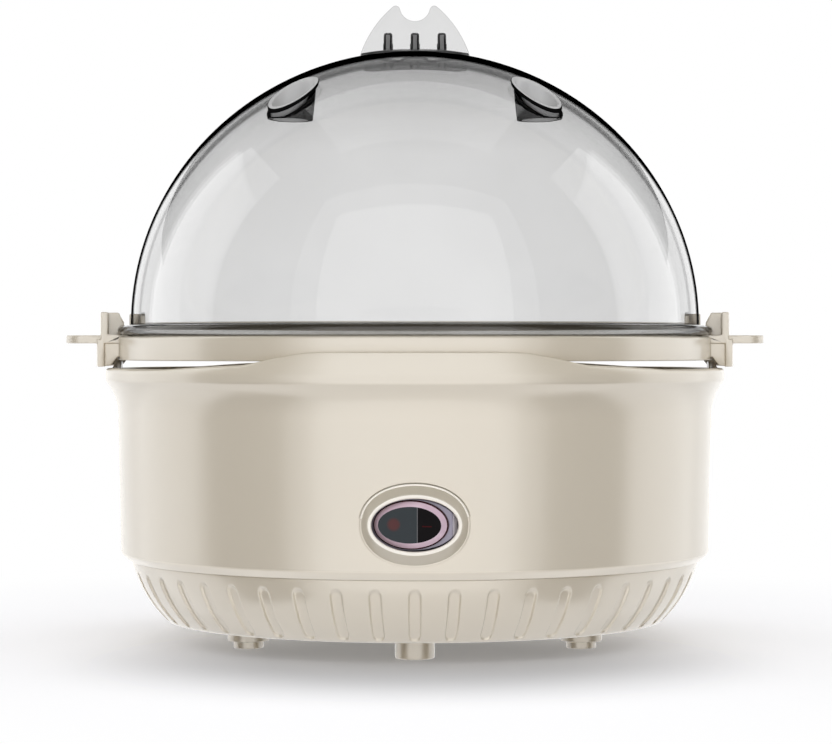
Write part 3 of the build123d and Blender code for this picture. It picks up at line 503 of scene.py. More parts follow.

# %% [markdown]
# ## Clear and smoked plastics
#
# The dome is one moulding of smoked plastic about 2 mm thick. Where we look through it square on,
# there is little plastic in the way and it is pale. Along its outline the wall is seen edge on, and
# it turns dark. A real glass shader with an absorbing inside does most of that. Layer Weight paints
# the rest, as painted shade along the outline. Shadow and diffuse rays pass through a plain tint,
# so light reaches the tray inside.
#
# What all the clear plastics share is a group: faint wipe marks in tint and gloss, and a painted
# shade that darkens the dome and the fin towards the crown. The outline, also painted shade, stays
# in the material, because it chooses between shaders.

# %% Group: wipe marks and painted crown shade
tree, given, result = open_group(
    "wipes_and_crown_shade",
    "ShaderNodeTree",
    {
        "Vector": "Vector",
        "Tint": WHITE,
        "Wipe Scale": 26.0,
        "Clean Roughness": 0.02,
        "Wiped Roughness": 0.05,
        "Shade Strength": 0.0,
        "Shade Low": 0.14,
        "Shade High": 0.165,
    },
    {"Colour": "Color", "Roughness": "Float"},
)
marks = noise(tree, given["Vector"], given["Wipe Scale"], 5.0)
rough = map_range(tree, marks, 0.45, 0.75, given["Clean Roughness"], given["Wiped Roughness"])
# Painted shade: the colour turns towards black between Shade Low and Shade High.
level = add_node(tree, "ShaderNodeSeparateXYZ", {"Vector": given["Vector"]}).outputs["Z"]
rise = map_range(tree, level, given["Shade Low"], given["Shade High"])
shade = maths(tree, "MULTIPLY", rise, given["Shade Strength"])
tinted = mixed(tree, marks, given["Tint"], WHITE)
wire(tree, result["Colour"], mixed(tree, shade, tinted, BLACK))
wire(tree, result["Roughness"], rough)
wipes_and_crown_shade = tree
print(tree.name, "nodes:", len(tree.nodes))

# %% Clear finish builder
# How far the painted shade darkens the dome and the fin at the crown.
CROWN_SHADE = 0.25
EDGE_LOW, EDGE_HIGH = 0.12, 0.155
EDGE_SOFTNESS = 0.03


def outlined(tree, place, surface, edge, limits):
    """The surface, turned to the edge colour where it is seen nearly edge on: a painted shade along
    the outline.
    """
    facing = add_node(tree, "ShaderNodeLayerWeight", {"Blend": 0.5}).outputs["Facing"]
    level = add_node(tree, "ShaderNodeSeparateXYZ", {"Vector": place}).outputs["Z"]
    limit = map_range(tree, level, EDGE_LOW, EDGE_HIGH, *limits)
    low, high = [maths(tree, way, limit, EDGE_SOFTNESS) for way in ("SUBTRACT", "ADD")]
    mask = map_range(tree, facing, low, high, smooth=True)
    rim = add_node(tree, "ShaderNodeBsdfTransparent", {"Color": paint(*edge)}).outputs[0]
    return add_node(tree, "ShaderNodeMixShader", {0: mask, 1: surface, 2: rim}).outputs[0]


def see_through(name, tint, inside, density, rough=0.02, wipe=0.0, ior=1.3, edge=None, limits=None):
    """Clear plastic that absorbs light inside; an edge colour paints its outline as shade, and
    darkens it towards the crown.
    """
    tree, shader, place = new_finish(name, Roughness=rough, IOR=ior, Transmission_Weight=1.0)
    values = {
        "Vector": place,
        "Tint": paint(*tint),
        "Clean Roughness": rough,
        "Wiped Roughness": rough + wipe,
        "Shade Strength": CROWN_SHADE if edge else 0.0,
    }
    group = add_node(tree, "ShaderNodeGroup", values, node_tree=wipes_and_crown_shade).outputs
    wire(tree, shader.inputs["Base Color"], group["Colour"])
    if wipe:
        wire(tree, shader.inputs["Roughness"], group["Roughness"])
    surface = shader.outputs[0]
    if edge:
        surface = outlined(tree, place, surface, edge, limits)
    absorber = {"Color": paint(*inside), "Density": density}
    absorber = add_node(tree, "ShaderNodeVolumeAbsorption", absorber).outputs[0]
    light = add_node(tree, "ShaderNodeLightPath").outputs
    passing = maths(tree, "MAXIMUM", light["Is Shadow Ray"], light["Is Diffuse Ray"])
    plain = add_node(tree, "ShaderNodeBsdfTransparent", {"Color": paint(*tint)}).outputs[0]
    mix = add_node(tree, "ShaderNodeMixShader", {0: passing, 1: surface, 2: plain}).outputs[0]
    output = tree.nodes["Material Output"]
    wire(tree, output.inputs["Volume"], absorber)
    wire(tree, output.inputs["Surface"], mix)


# %% Clear finishes
SMOKE = (120, 120, 120)
# The edge colours paint the outlines of the dome and the fin as shade, where their walls are seen
# edge on.
dome_edge = {"edge": (24, 24, 24), "limits": (0.865, 0.785)}
fin_edge = {"edge": (226, 226, 226), "limits": (0.35, 0.35)}
see_through("smoked_plastic", (244, 244, 244), SMOKE, 72.0, rough=0.0, wipe=0.03, **dome_edge)
# The flange's copy of the smoke has a darker tint and a denser inside: painted shade, darker than
# the thicker plastic alone would make it.
see_through("smoked_flange", (170, 166, 156), SMOKE, 95.0)
see_through("clear_plastic", (246, 246, 246), SMOKE, 30.0, **fin_edge)
see_through("lamp_glass", (255, 190, 170), (220, 90, 60), 40.0, ior=1.45)
print("finishes so far:", len(finishes))

# %% Dark smoke, its light and shade painted in
# These smoked parts are opaque, so their greys are painted: the greys of the ribs and the plate are
# part the plastic's own smoke and part the light seen through it, the near black is painted shade
# for faces seen edge on and for the pins, and the pale grey is painted light inside the vents.
for name, shade, second, shine in (
    ("dark_smoke", 126, 108, 0.12),
    ("dark_plate", 62, 50, 0.12),
    ("dark_edge", 16, 10, 0.12),
    ("vent_smoke", 20, 12, 0.0),
    ("vent_inside", 212, 184, 0.12),
):
    greys = [(shade,) * 3, (second,) * 3]
    moulded(name, *greys, rough=0.25, bump=0.05, Specular_IOR_Level=shine)
print("finishes so far:", len(finishes))

# %% [markdown]
# ## Helpers for shapes
#
# Most outer pieces are turned shapes: one outline carried round the middle axis. A lathe alone
# would do for a plain ring, but the collar dips at the left and right, so its outline changes as it
# goes round. A skin over rows of points does both. Every outline has its corners rounded, because a
# real moulding has no knife edges and only a rounded edge catches the light.

# %% Outline helpers
MOST_ROUNDING = 0.48


def rounded(corners, steps=4):
    """Points through these corners, each (across, up, how far back the rounding starts)."""
    outline = []
    for number, (across, up, start) in enumerate(corners):
        corner = Vector((across, up))
        if not start:
            outline.append(corner)
            continue
        before = Vector(corners[number - 1][:2]) - corner
        after = Vector(corners[(number + 1) % len(corners)][:2]) - corner
        first = corner + before * min(start / before.length, MOST_ROUNDING)
        last = corner + after * min(start / after.length, MOST_ROUNDING)
        for step in range(steps + 1):
            t = step / steps
            outline.append(first * (1 - t) ** 2 + corner * 2 * t * (1 - t) + last * t * t)
    return np.array([tuple(point) for point in outline])


def even_angles(count):
    """Angles evenly spaced round a full turn."""
    return np.arange(count) * 2 * math.pi / count


# %% Mesh helpers
def rework(mesh, change):
    """Open the mesh for work by hand, change it and close it again."""
    work = bmesh.new()
    work.from_mesh(mesh)
    change(work)
    work.to_mesh(mesh)
    work.free()


def merge_and_turn_out(work):
    """Merge doubles and turn every face outwards."""
    bmesh.ops.remove_doubles(work, verts=work.verts, dist=1e-6)
    bmesh.ops.recalc_face_normals(work, faces=work.faces)


def shade_smooth(mesh, sharp):
    """Smooth shading, broken at edges sharper than this angle."""
    mesh.polygons.foreach_set("use_smooth", [True] * len(mesh.polygons))
    mesh.set_sharp_from_angle(angle=math.radians(sharp))


def new_piece(name, points, faces, sharp=35.0):
    """A mesh object from points in millimetres; doubles are merged and faces turned outwards."""
    mesh = bpy.data.meshes.new(name)
    mesh.from_pydata([tuple(point) for point in np.asarray(points) * MM], [], faces)
    rework(mesh, merge_and_turn_out)
    shade_smooth(mesh, sharp)
    piece = bpy.data.objects.new(name, mesh)
    scene.collection.objects.link(piece)
    return piece


def skin(name, grid, closed_rows=True, sharp=35.0):
    """A skin over rows of points. Each row closes on itself; the last row may join the first."""
    rows, columns = grid.shape[:2]
    faces = []
    for row in range(rows if closed_rows else rows - 1):
        here, above = row * columns, (row + 1) % rows * columns
        for column in range(columns):
            beside = (column + 1) % columns
            faces.append((here + column, here + beside, above + beside, above + column))
    return new_piece(name, grid.reshape(-1, 3), faces, sharp)


def turned(name, outline, angles, sharp=35.0):
    """A closed outline of (radius, level) points carried round the middle axis."""
    outline = np.asarray(outline)
    grid = np.empty((len(outline), len(angles), 3))
    grid[:, :, 0] = outline[:, :1] * np.cos(angles)
    grid[:, :, 1] = outline[:, :1] * np.sin(angles)
    grid[:, :, 2] = outline[:, 1:]
    return skin(name, grid, True, sharp)


def settle(piece):
    """Work the modifiers into the mesh, so that a plain mesh is left."""
    depsgraph = bpy.context.evaluated_depsgraph_get()
    depsgraph.update()
    mesh = bpy.data.meshes.new_from_object(piece.evaluated_get(depsgraph), depsgraph=depsgraph)
    piece.modifiers.clear()
    piece.data = mesh
    return piece


# %% Finish and hand-over helpers
def add_finishes(piece, *names):
    """Give the piece more finishes, after those that it has."""
    for name in names:
        piece.data.materials.append(finishes[name])


def dress(piece, finish):
    """Give the whole piece one finish."""
    piece.data.materials.clear()
    add_finishes(piece, finish)
    return piece


def hand_over(piece, body, slot, *stood_for):
    """Hang a finished piece on its body and hide the CAD nodes that it stands for; the slot is not
    used.
    """
    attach(piece, body)
    if stood_for:
        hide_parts(*stood_for)
    triangles = sum(len(face.vertices) - 2 for face in piece.data.polygons)
    print(piece.name, "triangles:", triangles)


# %% [markdown]
# ## The bowl at the bottom
#
# The lower cover is a shallow bowl with 48 upright grooves pressed into its side, and it stands on
# three plain feet and three stepped posts. Cutting 48 slots with booleans leaves hard, ragged
# edges. Instead the plain bowl is turned first, with its points closest together where a groove's
# edge will run, and a Geometry Nodes tree then presses the grooves in by rule: the distance from a
# groove's middle line says how deep a point goes. The same tree sets the feet on a circle.

# %% Bowl outline
FOOT_LEVEL = 5.6
SEAM_LEVEL = 22.5
BOWL_CENTRE = (46.8, 30.2)
BOWL_RADIUS = 33.0
BOWL_WALL, BOWL_FLOOR = 2.6, 2.2
FLAT_RADIUS = 60
SPIGOT_INSET, SPIGOT_WALL, SPIGOT_HEIGHT = 0.7, 1.9, 3.5


def bowl_side(level, inset=0.0):
    """Radius of the bowl's side at this level."""
    return BOWL_CENTRE[0] + math.sqrt((BOWL_RADIUS - inset) ** 2 - (level - BOWL_CENTRE[1]) ** 2)


bottom_corner = rounded(
    [
        (FLAT_RADIUS, FOOT_LEVEL, 0),
        (bowl_side(FOOT_LEVEL), FOOT_LEVEL, 0.9),
        (bowl_side(7), 7.0, 0),
    ]
)[1:-1]
spigot = bowl_side(SEAM_LEVEL, SPIGOT_INSET)
bowl_outline = [(radius, FOOT_LEVEL) for radius in (0, 20, 40, FLAT_RADIUS)]
bowl_outline += [tuple(point) for point in bottom_corner]
side_levels = np.linspace(FOOT_LEVEL + 0.8, SEAM_LEVEL - 0.35, 38)
bowl_outline += [(bowl_side(level), level) for level in side_levels]
bowl_outline += [
    (bowl_side(SEAM_LEVEL) - 0.1, SEAM_LEVEL - 0.1),
    (bowl_side(SEAM_LEVEL) - 0.35, SEAM_LEVEL),
    (spigot, SEAM_LEVEL),
    (spigot, SEAM_LEVEL + SPIGOT_HEIGHT - 0.2),
    (spigot - 0.2, SEAM_LEVEL + SPIGOT_HEIGHT),
    (spigot - SPIGOT_WALL, SEAM_LEVEL + SPIGOT_HEIGHT),
]
inner_levels = np.linspace(FOOT_LEVEL + 2.4, SEAM_LEVEL, 12)
bowl_outline += [(bowl_side(level, BOWL_WALL), level) for level in inner_levels[::-1]]
bowl_outline += [(FLAT_RADIUS, FOOT_LEVEL + BOWL_FLOOR), (0, FOOT_LEVEL + BOWL_FLOOR)]
print("bowl outline points:", len(bowl_outline))

# %% Plain bowl
GROOVES = 48
GROOVE_CIRCLE = 77.0
groove_steps = np.array([0, 0.6, 1.0, 1.25, 1.4, 1.5, 1.6, 1.75, 2.0, 2.6, 3.6])
pitch = 2 * math.pi * GROOVE_CIRCLE / GROOVES
across_pitch = np.concatenate([-groove_steps[:0:-1], groove_steps, [pitch / 2]])
bowl_angles = np.concatenate(
    [(number + across_pitch / pitch) * 2 * math.pi / GROOVES for number in range(GROOVES)]
)
bowl = turned("lower_bowl", bowl_outline, bowl_angles)
print("bowl points:", len(bowl.data.vertices))

# %% Feet
FOOT_TOP = 6.6
FOOT_POINTS = 40
foot_outline = [(0, 0, 0), (5.2, 0, 0.6), (5.2, FOOT_TOP, 0), (0, FOOT_TOP, 0)]
post_outline = [
    (3.0, 0, 0.2),
    (4.05, 0, 0.4),
    (4.05, 1.9, 0.2),
    (5.65, 1.9, 0.4),
    (5.65, FOOT_TOP, 0),
    (4.4, 7.0, 0),
    (4.4, 14.0, 0.2),
    (1.7, 14.0, 0.2),
    (1.7, 4.4, 0),
    (3.0, 4.4, 0),
]
plain_foot = turned("plain_foot", rounded(foot_outline), even_angles(FOOT_POINTS))
screw_post = turned("screw_post", rounded(post_outline), even_angles(FOOT_POINTS))
print("foot faces:", len(plain_foot.data.polygons), "post faces:", len(screw_post.data.polygons))

# %% Tree: press grooves and set feet
tree, given, result = open_group(
    "grooves_and_feet",
    "GeometryNodeTree",
    {
        "Geometry": "Geometry",
        "Groove Count": 48.0,
        "Groove Width": 0.003,
        "Groove Depth": 0.0007,
        "Groove Low": 0.0064,
        "Groove High": 0.0197,
        "Edge Softness": 0.00022,
        "Foot Circle": 0.052,
        "Foot": "Object",
        "Post": "Object",
        "Plastic": "Material",
    },
    {"Geometry": "Geometry"},
)
do = sums_in(tree)
position = add_node(tree, "GeometryNodeInputPosition").outputs[0]
part = add_node(tree, "ShaderNodeSeparateXYZ", {"Vector": position}).outputs
radius = distance(tree, part["X"], part["Y"])
turns = do("DIVIDE", do("ARCTAN2", part["Y"], part["X"]), 2 * math.pi)
turns = do("MULTIPLY", turns, given["Groove Count"])
beside = do("SUBTRACT", turns, do("ROUND", turns))
arc = do("DIVIDE", do("MULTIPLY", radius, 2 * math.pi), given["Groove Count"])
sideways = do("MULTIPLY", beside, arc)
half = do("MULTIPLY", given["Groove Width"], 0.5)
top_end = do("SUBTRACT", given["Groove High"], half)
low_end = do("ADD", given["Groove Low"], half)
above = do("MAXIMUM", do("SUBTRACT", part["Z"], top_end), 0.0)
below = do("MINIMUM", do("SUBTRACT", part["Z"], low_end), 0.0)
from_edge = do("SUBTRACT", distance(tree, sideways, do("ADD", above, below)), half)
soft = given["Edge Softness"]
inner_soft = do("MULTIPLY", soft, -1.0)
pressed = map_range(tree, from_edge, inner_soft, soft, given["Groove Depth"], 0.0, smooth=True)
is_skin = add_node(tree, "GeometryNodeInputNamedAttribute", {"Name": "outer_skin"})
is_skin = do("GREATER_THAN", is_skin.outputs["Attribute"], 0.5)
inward = do("DIVIDE", do("MULTIPLY", pressed, is_skin), do("MULTIPLY", radius, -1.0))
shift = {way: do("MULTIPLY", part[way], inward) for way in ("X", "Y")}
shift = add_node(tree, "ShaderNodeCombineXYZ", shift).outputs[0]
shaped = {"Geometry": given["Geometry"], "Offset": shift}
shaped = add_node(tree, "GeometryNodeSetPosition", shaped).outputs[0]
FOOT_TURNS = {"Foot": -90.0, "Post": -30.0}
everything = add_node(tree, "GeometryNodeJoinGeometry")
for label, turn in FOOT_TURNS.items():
    ring = {"Vertices": 3, "Radius": given["Foot Circle"]}
    ring = add_node(tree, "GeometryNodeMeshCircle", ring).outputs[0]
    spots = {"Geometry": ring, "Rotation": (0, 0, math.radians(turn))}
    spots = add_node(tree, "GeometryNodeTransform", spots).outputs[0]
    model = add_node(tree, "GeometryNodeObjectInfo", {"Object": given[label]}).outputs["Geometry"]
    feet = add_node(tree, "GeometryNodeInstanceOnPoints", {"Points": spots, "Instance": model})
    wire(tree, everything.inputs[0], feet.outputs[0])
wire(tree, everything.inputs[0], shaped)
real = {"Geometry": everything.outputs[0]}
real = add_node(tree, "GeometryNodeRealizeInstances", real).outputs[0]
dressed = {"Geometry": real, "Material": given["Plastic"]}
wire(tree, result["Geometry"], add_node(tree, "GeometryNodeSetMaterial", dressed).outputs[0])
grooves_and_feet = tree
print(tree.name, "nodes:", len(tree.nodes))


# %% Run a tree on a piece
def grow(piece, tree, values):
    """Put a Geometry Nodes tree on a piece with these named inputs, and settle it."""
    growth = piece.modifiers.new(tree.name, "NODES")
    growth.node_group = tree
    for item in tree.interface.items_tree:
        if item.item_type == "SOCKET" and item.in_out == "INPUT" and item.name in values:
            growth[item.identifier] = values[item.name]
    return settle(piece)


# %% Grooved bowl on its feet
SKIN_DEPTH = 0.5


def on_outer_skin(point):
    """Whether a point of the bowl lies on the outside of its side."""
    level = point.z / MM
    if not FOOT_LEVEL < level < SEAM_LEVEL:
        return False
    return math.hypot(point.x, point.y) / MM > bowl_side(level) - SKIN_DEPTH


outer = np.array([on_outer_skin(vertex.co) for vertex in bowl.data.vertices], np.float32)
bowl.data.attributes.new("outer_skin", "FLOAT", "POINT").data.foreach_set("value", outer)
models = {"Foot": plain_foot, "Post": screw_post, "Plastic": finishes["cream_plastic"]}
grow(bowl, grooves_and_feet, models)
shade_smooth(bowl.data, 50.0)
for model in (plain_foot, screw_post):
    bpy.data.objects.remove(model)
hand_over(dress(bowl, "cream_plastic"), "base", "cream_plastic", "lower_cover")

# %% [markdown]
# ## The housing
#
# The upper housing is the cooker's main wall. Its foot is drawn in by a chamfer, the wall leans out
# a little, flares to the rim and closes in to a collar. At the left and right the collar dips, so
# that fingers get under the grips. The outline is made anew at each angle with the collar's height
# there, and one skin goes over them all.


# %% Arcs
def arc_through(first, middle, last, steps):
    """Points on the arc through three points."""
    (ax, ay), (bx, by), (cx, cy) = first, middle, last
    a, b, c = ax * ax + ay * ay, bx * bx + by * by, cx * cx + cy * cy
    twice = 2 * (ax * (by - cy) + bx * (cy - ay) + cx * (ay - by))
    x = (a * (by - cy) + b * (cy - ay) + c * (ay - by)) / twice
    y = (a * (cx - bx) + b * (ax - cx) + c * (bx - ax)) / twice
    radius = math.hypot(ax - x, ay - y)
    start = math.atan2(ay - y, ax - x)
    turn = (math.atan2(cy - y, cx - x) - start + math.pi) % (2 * math.pi) - math.pi
    angles = [start + turn * step / steps for step in range(steps + 1)]
    return [(x + radius * math.cos(angle), y + radius * math.sin(angle)) for angle in angles]


def hollow_arc(start, end, radius, steps):
    """Points on an arc from start to end, hollow on the outside."""
    start, end = Vector(start), Vector(end)
    chord = end - start
    sag = radius - math.sqrt(radius**2 - (chord.length / 2) ** 2)
    middle = (start + end) / 2 + Vector((-chord.y, chord.x)).normalized() * sag
    return arc_through(start, middle, end, steps)


# %% Housing outline
WALL_LOW, WALL_HIGH = 81.8, 82.6
WALL_FOOT = SEAM_LEVEL + 2.1
FLARE_START = 63.0
FLARE_RADIUS = 15.1
RIM = 86.1
RIM_LOW, RIM_HIGH = 72.2, 74.5
COLLAR_OUTER, COLLAR_INNER = 84.3, 83.0
COLLAR_TOP = 80.2
COLLAR_DIP = 75.6
dip_corners = [
    (0, COLLAR_DIP, 0),
    (54.0, COLLAR_DIP, 0.4),
    (72.3, 76.9, 1.1),
    (79.9, COLLAR_TOP, 1.3),
    (100, COLLAR_TOP, 0),
]
dip_line = rounded(dip_corners, 8)


def collar_level(y):
    """Height of the collar's top this far in front of or behind the middle."""
    return float(np.interp(abs(y), dip_line[:, 0], dip_line[:, 1]))


def housing_outline(angle):
    """The housing's closed outline at this angle round the middle."""
    top = collar_level(COLLAR_OUTER * math.sin(angle))
    inner_top = collar_level(COLLAR_INNER * math.sin(angle))
    share = (top - RIM_HIGH) / (COLLAR_TOP - RIM_HIGH)
    lip = RIM - (RIM - COLLAR_OUTER) * share
    flare = hollow_arc((WALL_HIGH, FLARE_START), (RIM, RIM_LOW), FLARE_RADIUS, 8)
    corners = [
        (79.5, SEAM_LEVEL, 0.4),
        (WALL_LOW, WALL_FOOT, 0.6),
        *[(across, up, 0) for across, up in flare[:-1]],
        (RIM, RIM_LOW, 0.5),
        (RIM, RIM_HIGH, 0.6),
        (lip, top, 1.4 - 1.0 * share),
        (COLLAR_INNER, inner_top, 0.3),
        (COLLAR_INNER, 72.4, 0),
        (82.0, 70.6, 0),
        (80.4, FLARE_START, 0),
        (79.6, SEAM_LEVEL + 3.9, 0),
        (spigot + 0.15, SEAM_LEVEL + 2.4, 0),
        (spigot + 0.15, SEAM_LEVEL, 0),
    ]
    return rounded(corners)


SHARP_ANGLE = 40.0
wall_angles = even_angles(360)
outlines = np.array([housing_outline(angle) for angle in wall_angles])
grid = np.empty((outlines.shape[1], len(wall_angles), 3))
for column, (angle, outline) in enumerate(zip(wall_angles, outlines)):
    grid[:, column, 0] = outline[:, 0] * math.cos(angle)
    grid[:, column, 1] = outline[:, 0] * math.sin(angle)
    grid[:, column, 2] = outline[:, 1]
housing = dress(skin("upper_housing_wall", grid, sharp=SHARP_ANGLE), "cream_plastic")
print("housing wall points:", len(housing.data.vertices))

# %% Lower step of the housing, painted lighter
STEP_RADIUS = 79.4
# The chamfer at the wall's foot faces down, into shade; a lighter copy of the cream paints light
# onto it.
moulded("cream_step_painted_light", (230, 221, 203), (227, 217, 199), **cream_gloss)
add_finishes(housing, "cream_step_painted_light")
for face in housing.data.polygons:
    reach = math.hypot(face.center.x, face.center.y) / MM
    low = face.center.z / MM < WALL_FOOT + 0.2
    if reach > STEP_RADIUS and low and face.normal.z < -0.3:
        face.material_index = 1
print("faces on the step:", sum(face.material_index for face in housing.data.polygons))

# %% [markdown]
# ## The oval bezel
#
# The switch looks out of a raised oval bezel: a sloping collar with a rounded lip. It is a skin
# over ovals. The outer ones lie on the wall and sink into a fine groove round the foot, the next
# climb the slope, and the last go over the lip and down into the window. A hole of the groove's
# outline is cut through the wall for it. Its light and shade are painted: a painted shadow in the
# groove and a painted highlight just inside it, both on the upper half only, the slope painted
# darker as shade and the lip painted lighter as a highlight.

# %% Bezel foot
SWITCH_LEVEL = 36.8
BEZEL_BASE, FACE = 80.4, 84.4
BEZEL_FOOT, BEZEL_LIP = (13.95, 12.05), (12.0, 7.7)
OVAL_POINTS = 144
oval_turns = even_angles(OVAL_POINTS)


def wall_radius(level):
    """The housing wall's outer radius at this level."""
    return WALL_LOW + (WALL_HIGH - WALL_LOW) * (level - WALL_FOOT) / (FLARE_START - WALL_FOOT)


def on_wall(x, z):
    """Forward reach of the wall's surface at these spots."""
    return np.sqrt(wall_radius(z) ** 2 - x * x)


def slope_size(forward):
    """Half width and half height of the bezel's slope this far forward."""
    share = (forward - BEZEL_BASE) / (FACE - BEZEL_BASE)
    return [foot + (lip - foot) * share for foot, lip in zip(BEZEL_FOOT, BEZEL_LIP)]


# The foot's size depends on how far forward the wall is there, so a few rounds settle both.
reach = np.full(OVAL_POINTS, 81.5)
for _ in range(12):
    half_width, half_height = slope_size(reach)
    foot_x, foot_z = half_width * np.cos(oval_turns), half_height * np.sin(oval_turns)
    reach = on_wall(foot_x, SWITCH_LEVEL + foot_z)
print("bezel foot, half width and height:", round(foot_x.max(), 2), round(foot_z.max(), 2))


# %% Bezel rows
def foot_row(grow_by, lift):
    """The bezel's outline on the wall, grown by this much and lifted off the wall."""
    size = 1 + grow_by / np.hypot(foot_x, foot_z)
    x, z = foot_x * size, SWITCH_LEVEL + foot_z * size
    return np.stack([x, -on_wall(x, z) - lift, z], axis=1)


def oval_row(size, forward):
    """A row of points on an upright oval round the switch, this far forward."""
    x, z = size[0] * np.cos(oval_turns), SWITCH_LEVEL + size[1] * np.sin(oval_turns)
    return np.stack([x, np.full_like(x, -forward), z], axis=1)


GROOVE_OUT, GROOVE_DEPTH = 0.62, 0.5
WINDOW, POCKET, WIDE_POCKET = (10.9, 6.65), (11.6, 7.3), (12.4, 8.4)
POCKET_FLOOR, WALL_BACK = 81.8, 79.6
upper = np.clip(2.2 * np.sin(oval_turns) - 0.3, 0.0, 1.0)
bezel_rows = [
    foot_row(GROOVE_OUT, 0.0),
    foot_row(GROOVE_OUT - 0.06, -GROOVE_DEPTH * upper),
    foot_row(GROOVE_OUT - 0.3, -GROOVE_DEPTH * upper),
    foot_row(GROOVE_OUT - 0.36, 0.02),
    foot_row(0.15, 0.09),
    foot_row(-0.1, 0.12),
    foot_row(-0.2, 0.1),
]
slope_foot = bezel_rows[-1]
lip_row = oval_row(slope_size(FACE - 0.3), FACE - 0.3)
bezel_rows += [slope_foot * (1 - share) + lip_row * share for share in (0.25, 0.5, 0.75, 1.0)]
for size, forward in (
    ((12.02, 7.78), FACE - 0.1),
    ((11.85, 7.6), FACE),
    ((11.3, 7.05), FACE),
    ((11.05, 6.8), FACE - 0.08),
    ((10.93, 6.68), FACE - 0.25),
    (WINDOW, FACE - 0.6),
    (WINDOW, FACE - 1.0),
    (POCKET, FACE - 1.0),
    (POCKET, POCKET_FLOOR),
    (WIDE_POCKET, POCKET_FLOOR),
    (WIDE_POCKET, WALL_BACK),
):
    bezel_rows.append(oval_row(size, forward))
bezel_rows.append(foot_row(GROOVE_OUT, -1.4))
bezel = skin("switch_bezel", np.array(bezel_rows), sharp=SHARP_ANGLE)
print("bezel rows:", len(bezel_rows))

# %% Bezel finishes, painted light and shade
# The slope is painted darker as shade, the lip lighter as a highlight, and the groove darker as a
# shadow.
moulded("bezel_slope_painted_shade", (200, 192, 176), (196, 187, 170), rough=0.3, Specular_IOR_Level=0.6)
moulded("bezel_lip_painted_highlight", (245, 239, 228), (240, 233, 221), rough=0.25, Specular_IOR_Level=0.9)
moulded("bezel_groove_painted_shadow", (190, 182, 166), (184, 176, 160), rough=0.5, Specular_IOR_Level=0.2)
add_finishes(bezel, "cream_plastic", "bezel_slope_painted_shade", "bezel_lip_painted_highlight", "bezel_groove_painted_shadow")
SHADED_SLOPE, LIT_LIP, SHADOW_GROOVE = 1, 2, 3
# Along the upper half, the groove gets a painted shadow and the rows just inside it a painted
# highlight.
bezel_bands = [
    # first row, row past the last, finish, only in the upper part
    (0, 3, SHADOW_GROOVE, True),
    (3, 6, LIT_LIP, True),
    (6, 12, SHADED_SLOPE, False),
    (12, 17, LIT_LIP, False),
]
for index, face in enumerate(bezel.data.polygons):
    row, column = divmod(index, OVAL_POINTS)
    for first, end, finish, only_upper in bezel_bands:
        if first <= row < end and (upper[column] or not only_upper):
            face.material_index = finish
print("bezel finishes:", [finish.name for finish in bezel.data.materials])

# %% Slabs and soft edges
BEVEL_ANGLE = 30.0
BEVEL_SEGMENTS = 3


def soften(piece, width):
    """Round every sharp edge."""
    bevel = piece.modifiers.new("soft_edge", "BEVEL")
    bevel.width = width * MM
    bevel.segments = BEVEL_SEGMENTS
    bevel.limit_method = "ANGLE"
    bevel.angle_limit = math.radians(BEVEL_ANGLE)
    bevel.use_clamp_overlap = False
    settle(piece)
    shade_smooth(piece.data, SHARP_ANGLE)
    return piece


def slab(name, outline, low, high, axis, edge=0.0):
    """A plate: a flat outline pushed through from low to high along an axis, edges softened."""
    count = len(outline)
    points = []
    for reach in (low, high):
        for u, v in outline:
            point = [u, v]
            point.insert(axis, reach)
            points.append(point)
    faces = [tuple(range(count)), tuple(range(count, 2 * count))]
    faces += [(i, (i + 1) % count, count + (i + 1) % count, count + i) for i in range(count)]
    piece = new_piece(name, points, faces)
    return soften(piece, edge) if edge else piece


# %% Hole for the bezel
def carve(piece, cutter, operation="DIFFERENCE"):
    """Cut the cutter out of the piece, or weld it on, and throw the cutter away."""
    knife = piece.modifiers.new("knife", "BOOLEAN")
    knife.operation = operation
    knife.solver = "EXACT"
    knife.material_mode = "TRANSFER"
    knife.object = cutter
    settle(piece)
    bpy.data.objects.remove(cutter)


CUT_FRONT = (-90, -74)
hole = [(x, z) for x, _, z in foot_row(GROOVE_OUT, 0.0)]
carve(housing, slab("cutter", hole, *CUT_FRONT, axis=1))
housing.data.set_sharp_from_angle(angle=math.radians(SHARP_ANGLE))
print("housing faces with the hole:", len(housing.data.polygons))

# %% Rear pad
INLET_LEVEL = 34.0
INLET_RADIUS, PAD_RADIUS = 6.05, 9.5
PAD_BACK, PAD_FACE = 80.8, 83.4
CUT_REAR = (75, 90)
inlet_turns = even_angles(48)
hole = [(INLET_RADIUS * math.cos(a), INLET_LEVEL + INLET_RADIUS * math.sin(a)) for a in inlet_turns]
carve(housing, slab("cutter", hole, *CUT_REAR, axis=1))
pad_outline = [
    (INLET_RADIUS, PAD_BACK, 0),
    (PAD_RADIUS, PAD_BACK, 0),
    (PAD_RADIUS, PAD_FACE, 0.3),
    (INLET_RADIUS, PAD_FACE, 0.2),
]
pad = turned("inlet_pad", rounded(pad_outline), inlet_turns)
lay_down = Matrix.Rotation(math.radians(-90), 4, "X")
pad.data.transform(Matrix.Translation((0, 0, INLET_LEVEL * MM)) @ lay_down)
print("housing faces with the inlet:", len(housing.data.polygons))

# %% Rests for the tray
REST_FOOT, REST_TOP = 72.3, 77.5
REST_EDGE = 0.3
extras = [pad]


def oblong(half, low, high, middle=0.0):
    """The corners of an oblong from low to high."""
    left, right = middle - half, middle + half
    return [(left, low), (right, low), (right, high), (left, high)]


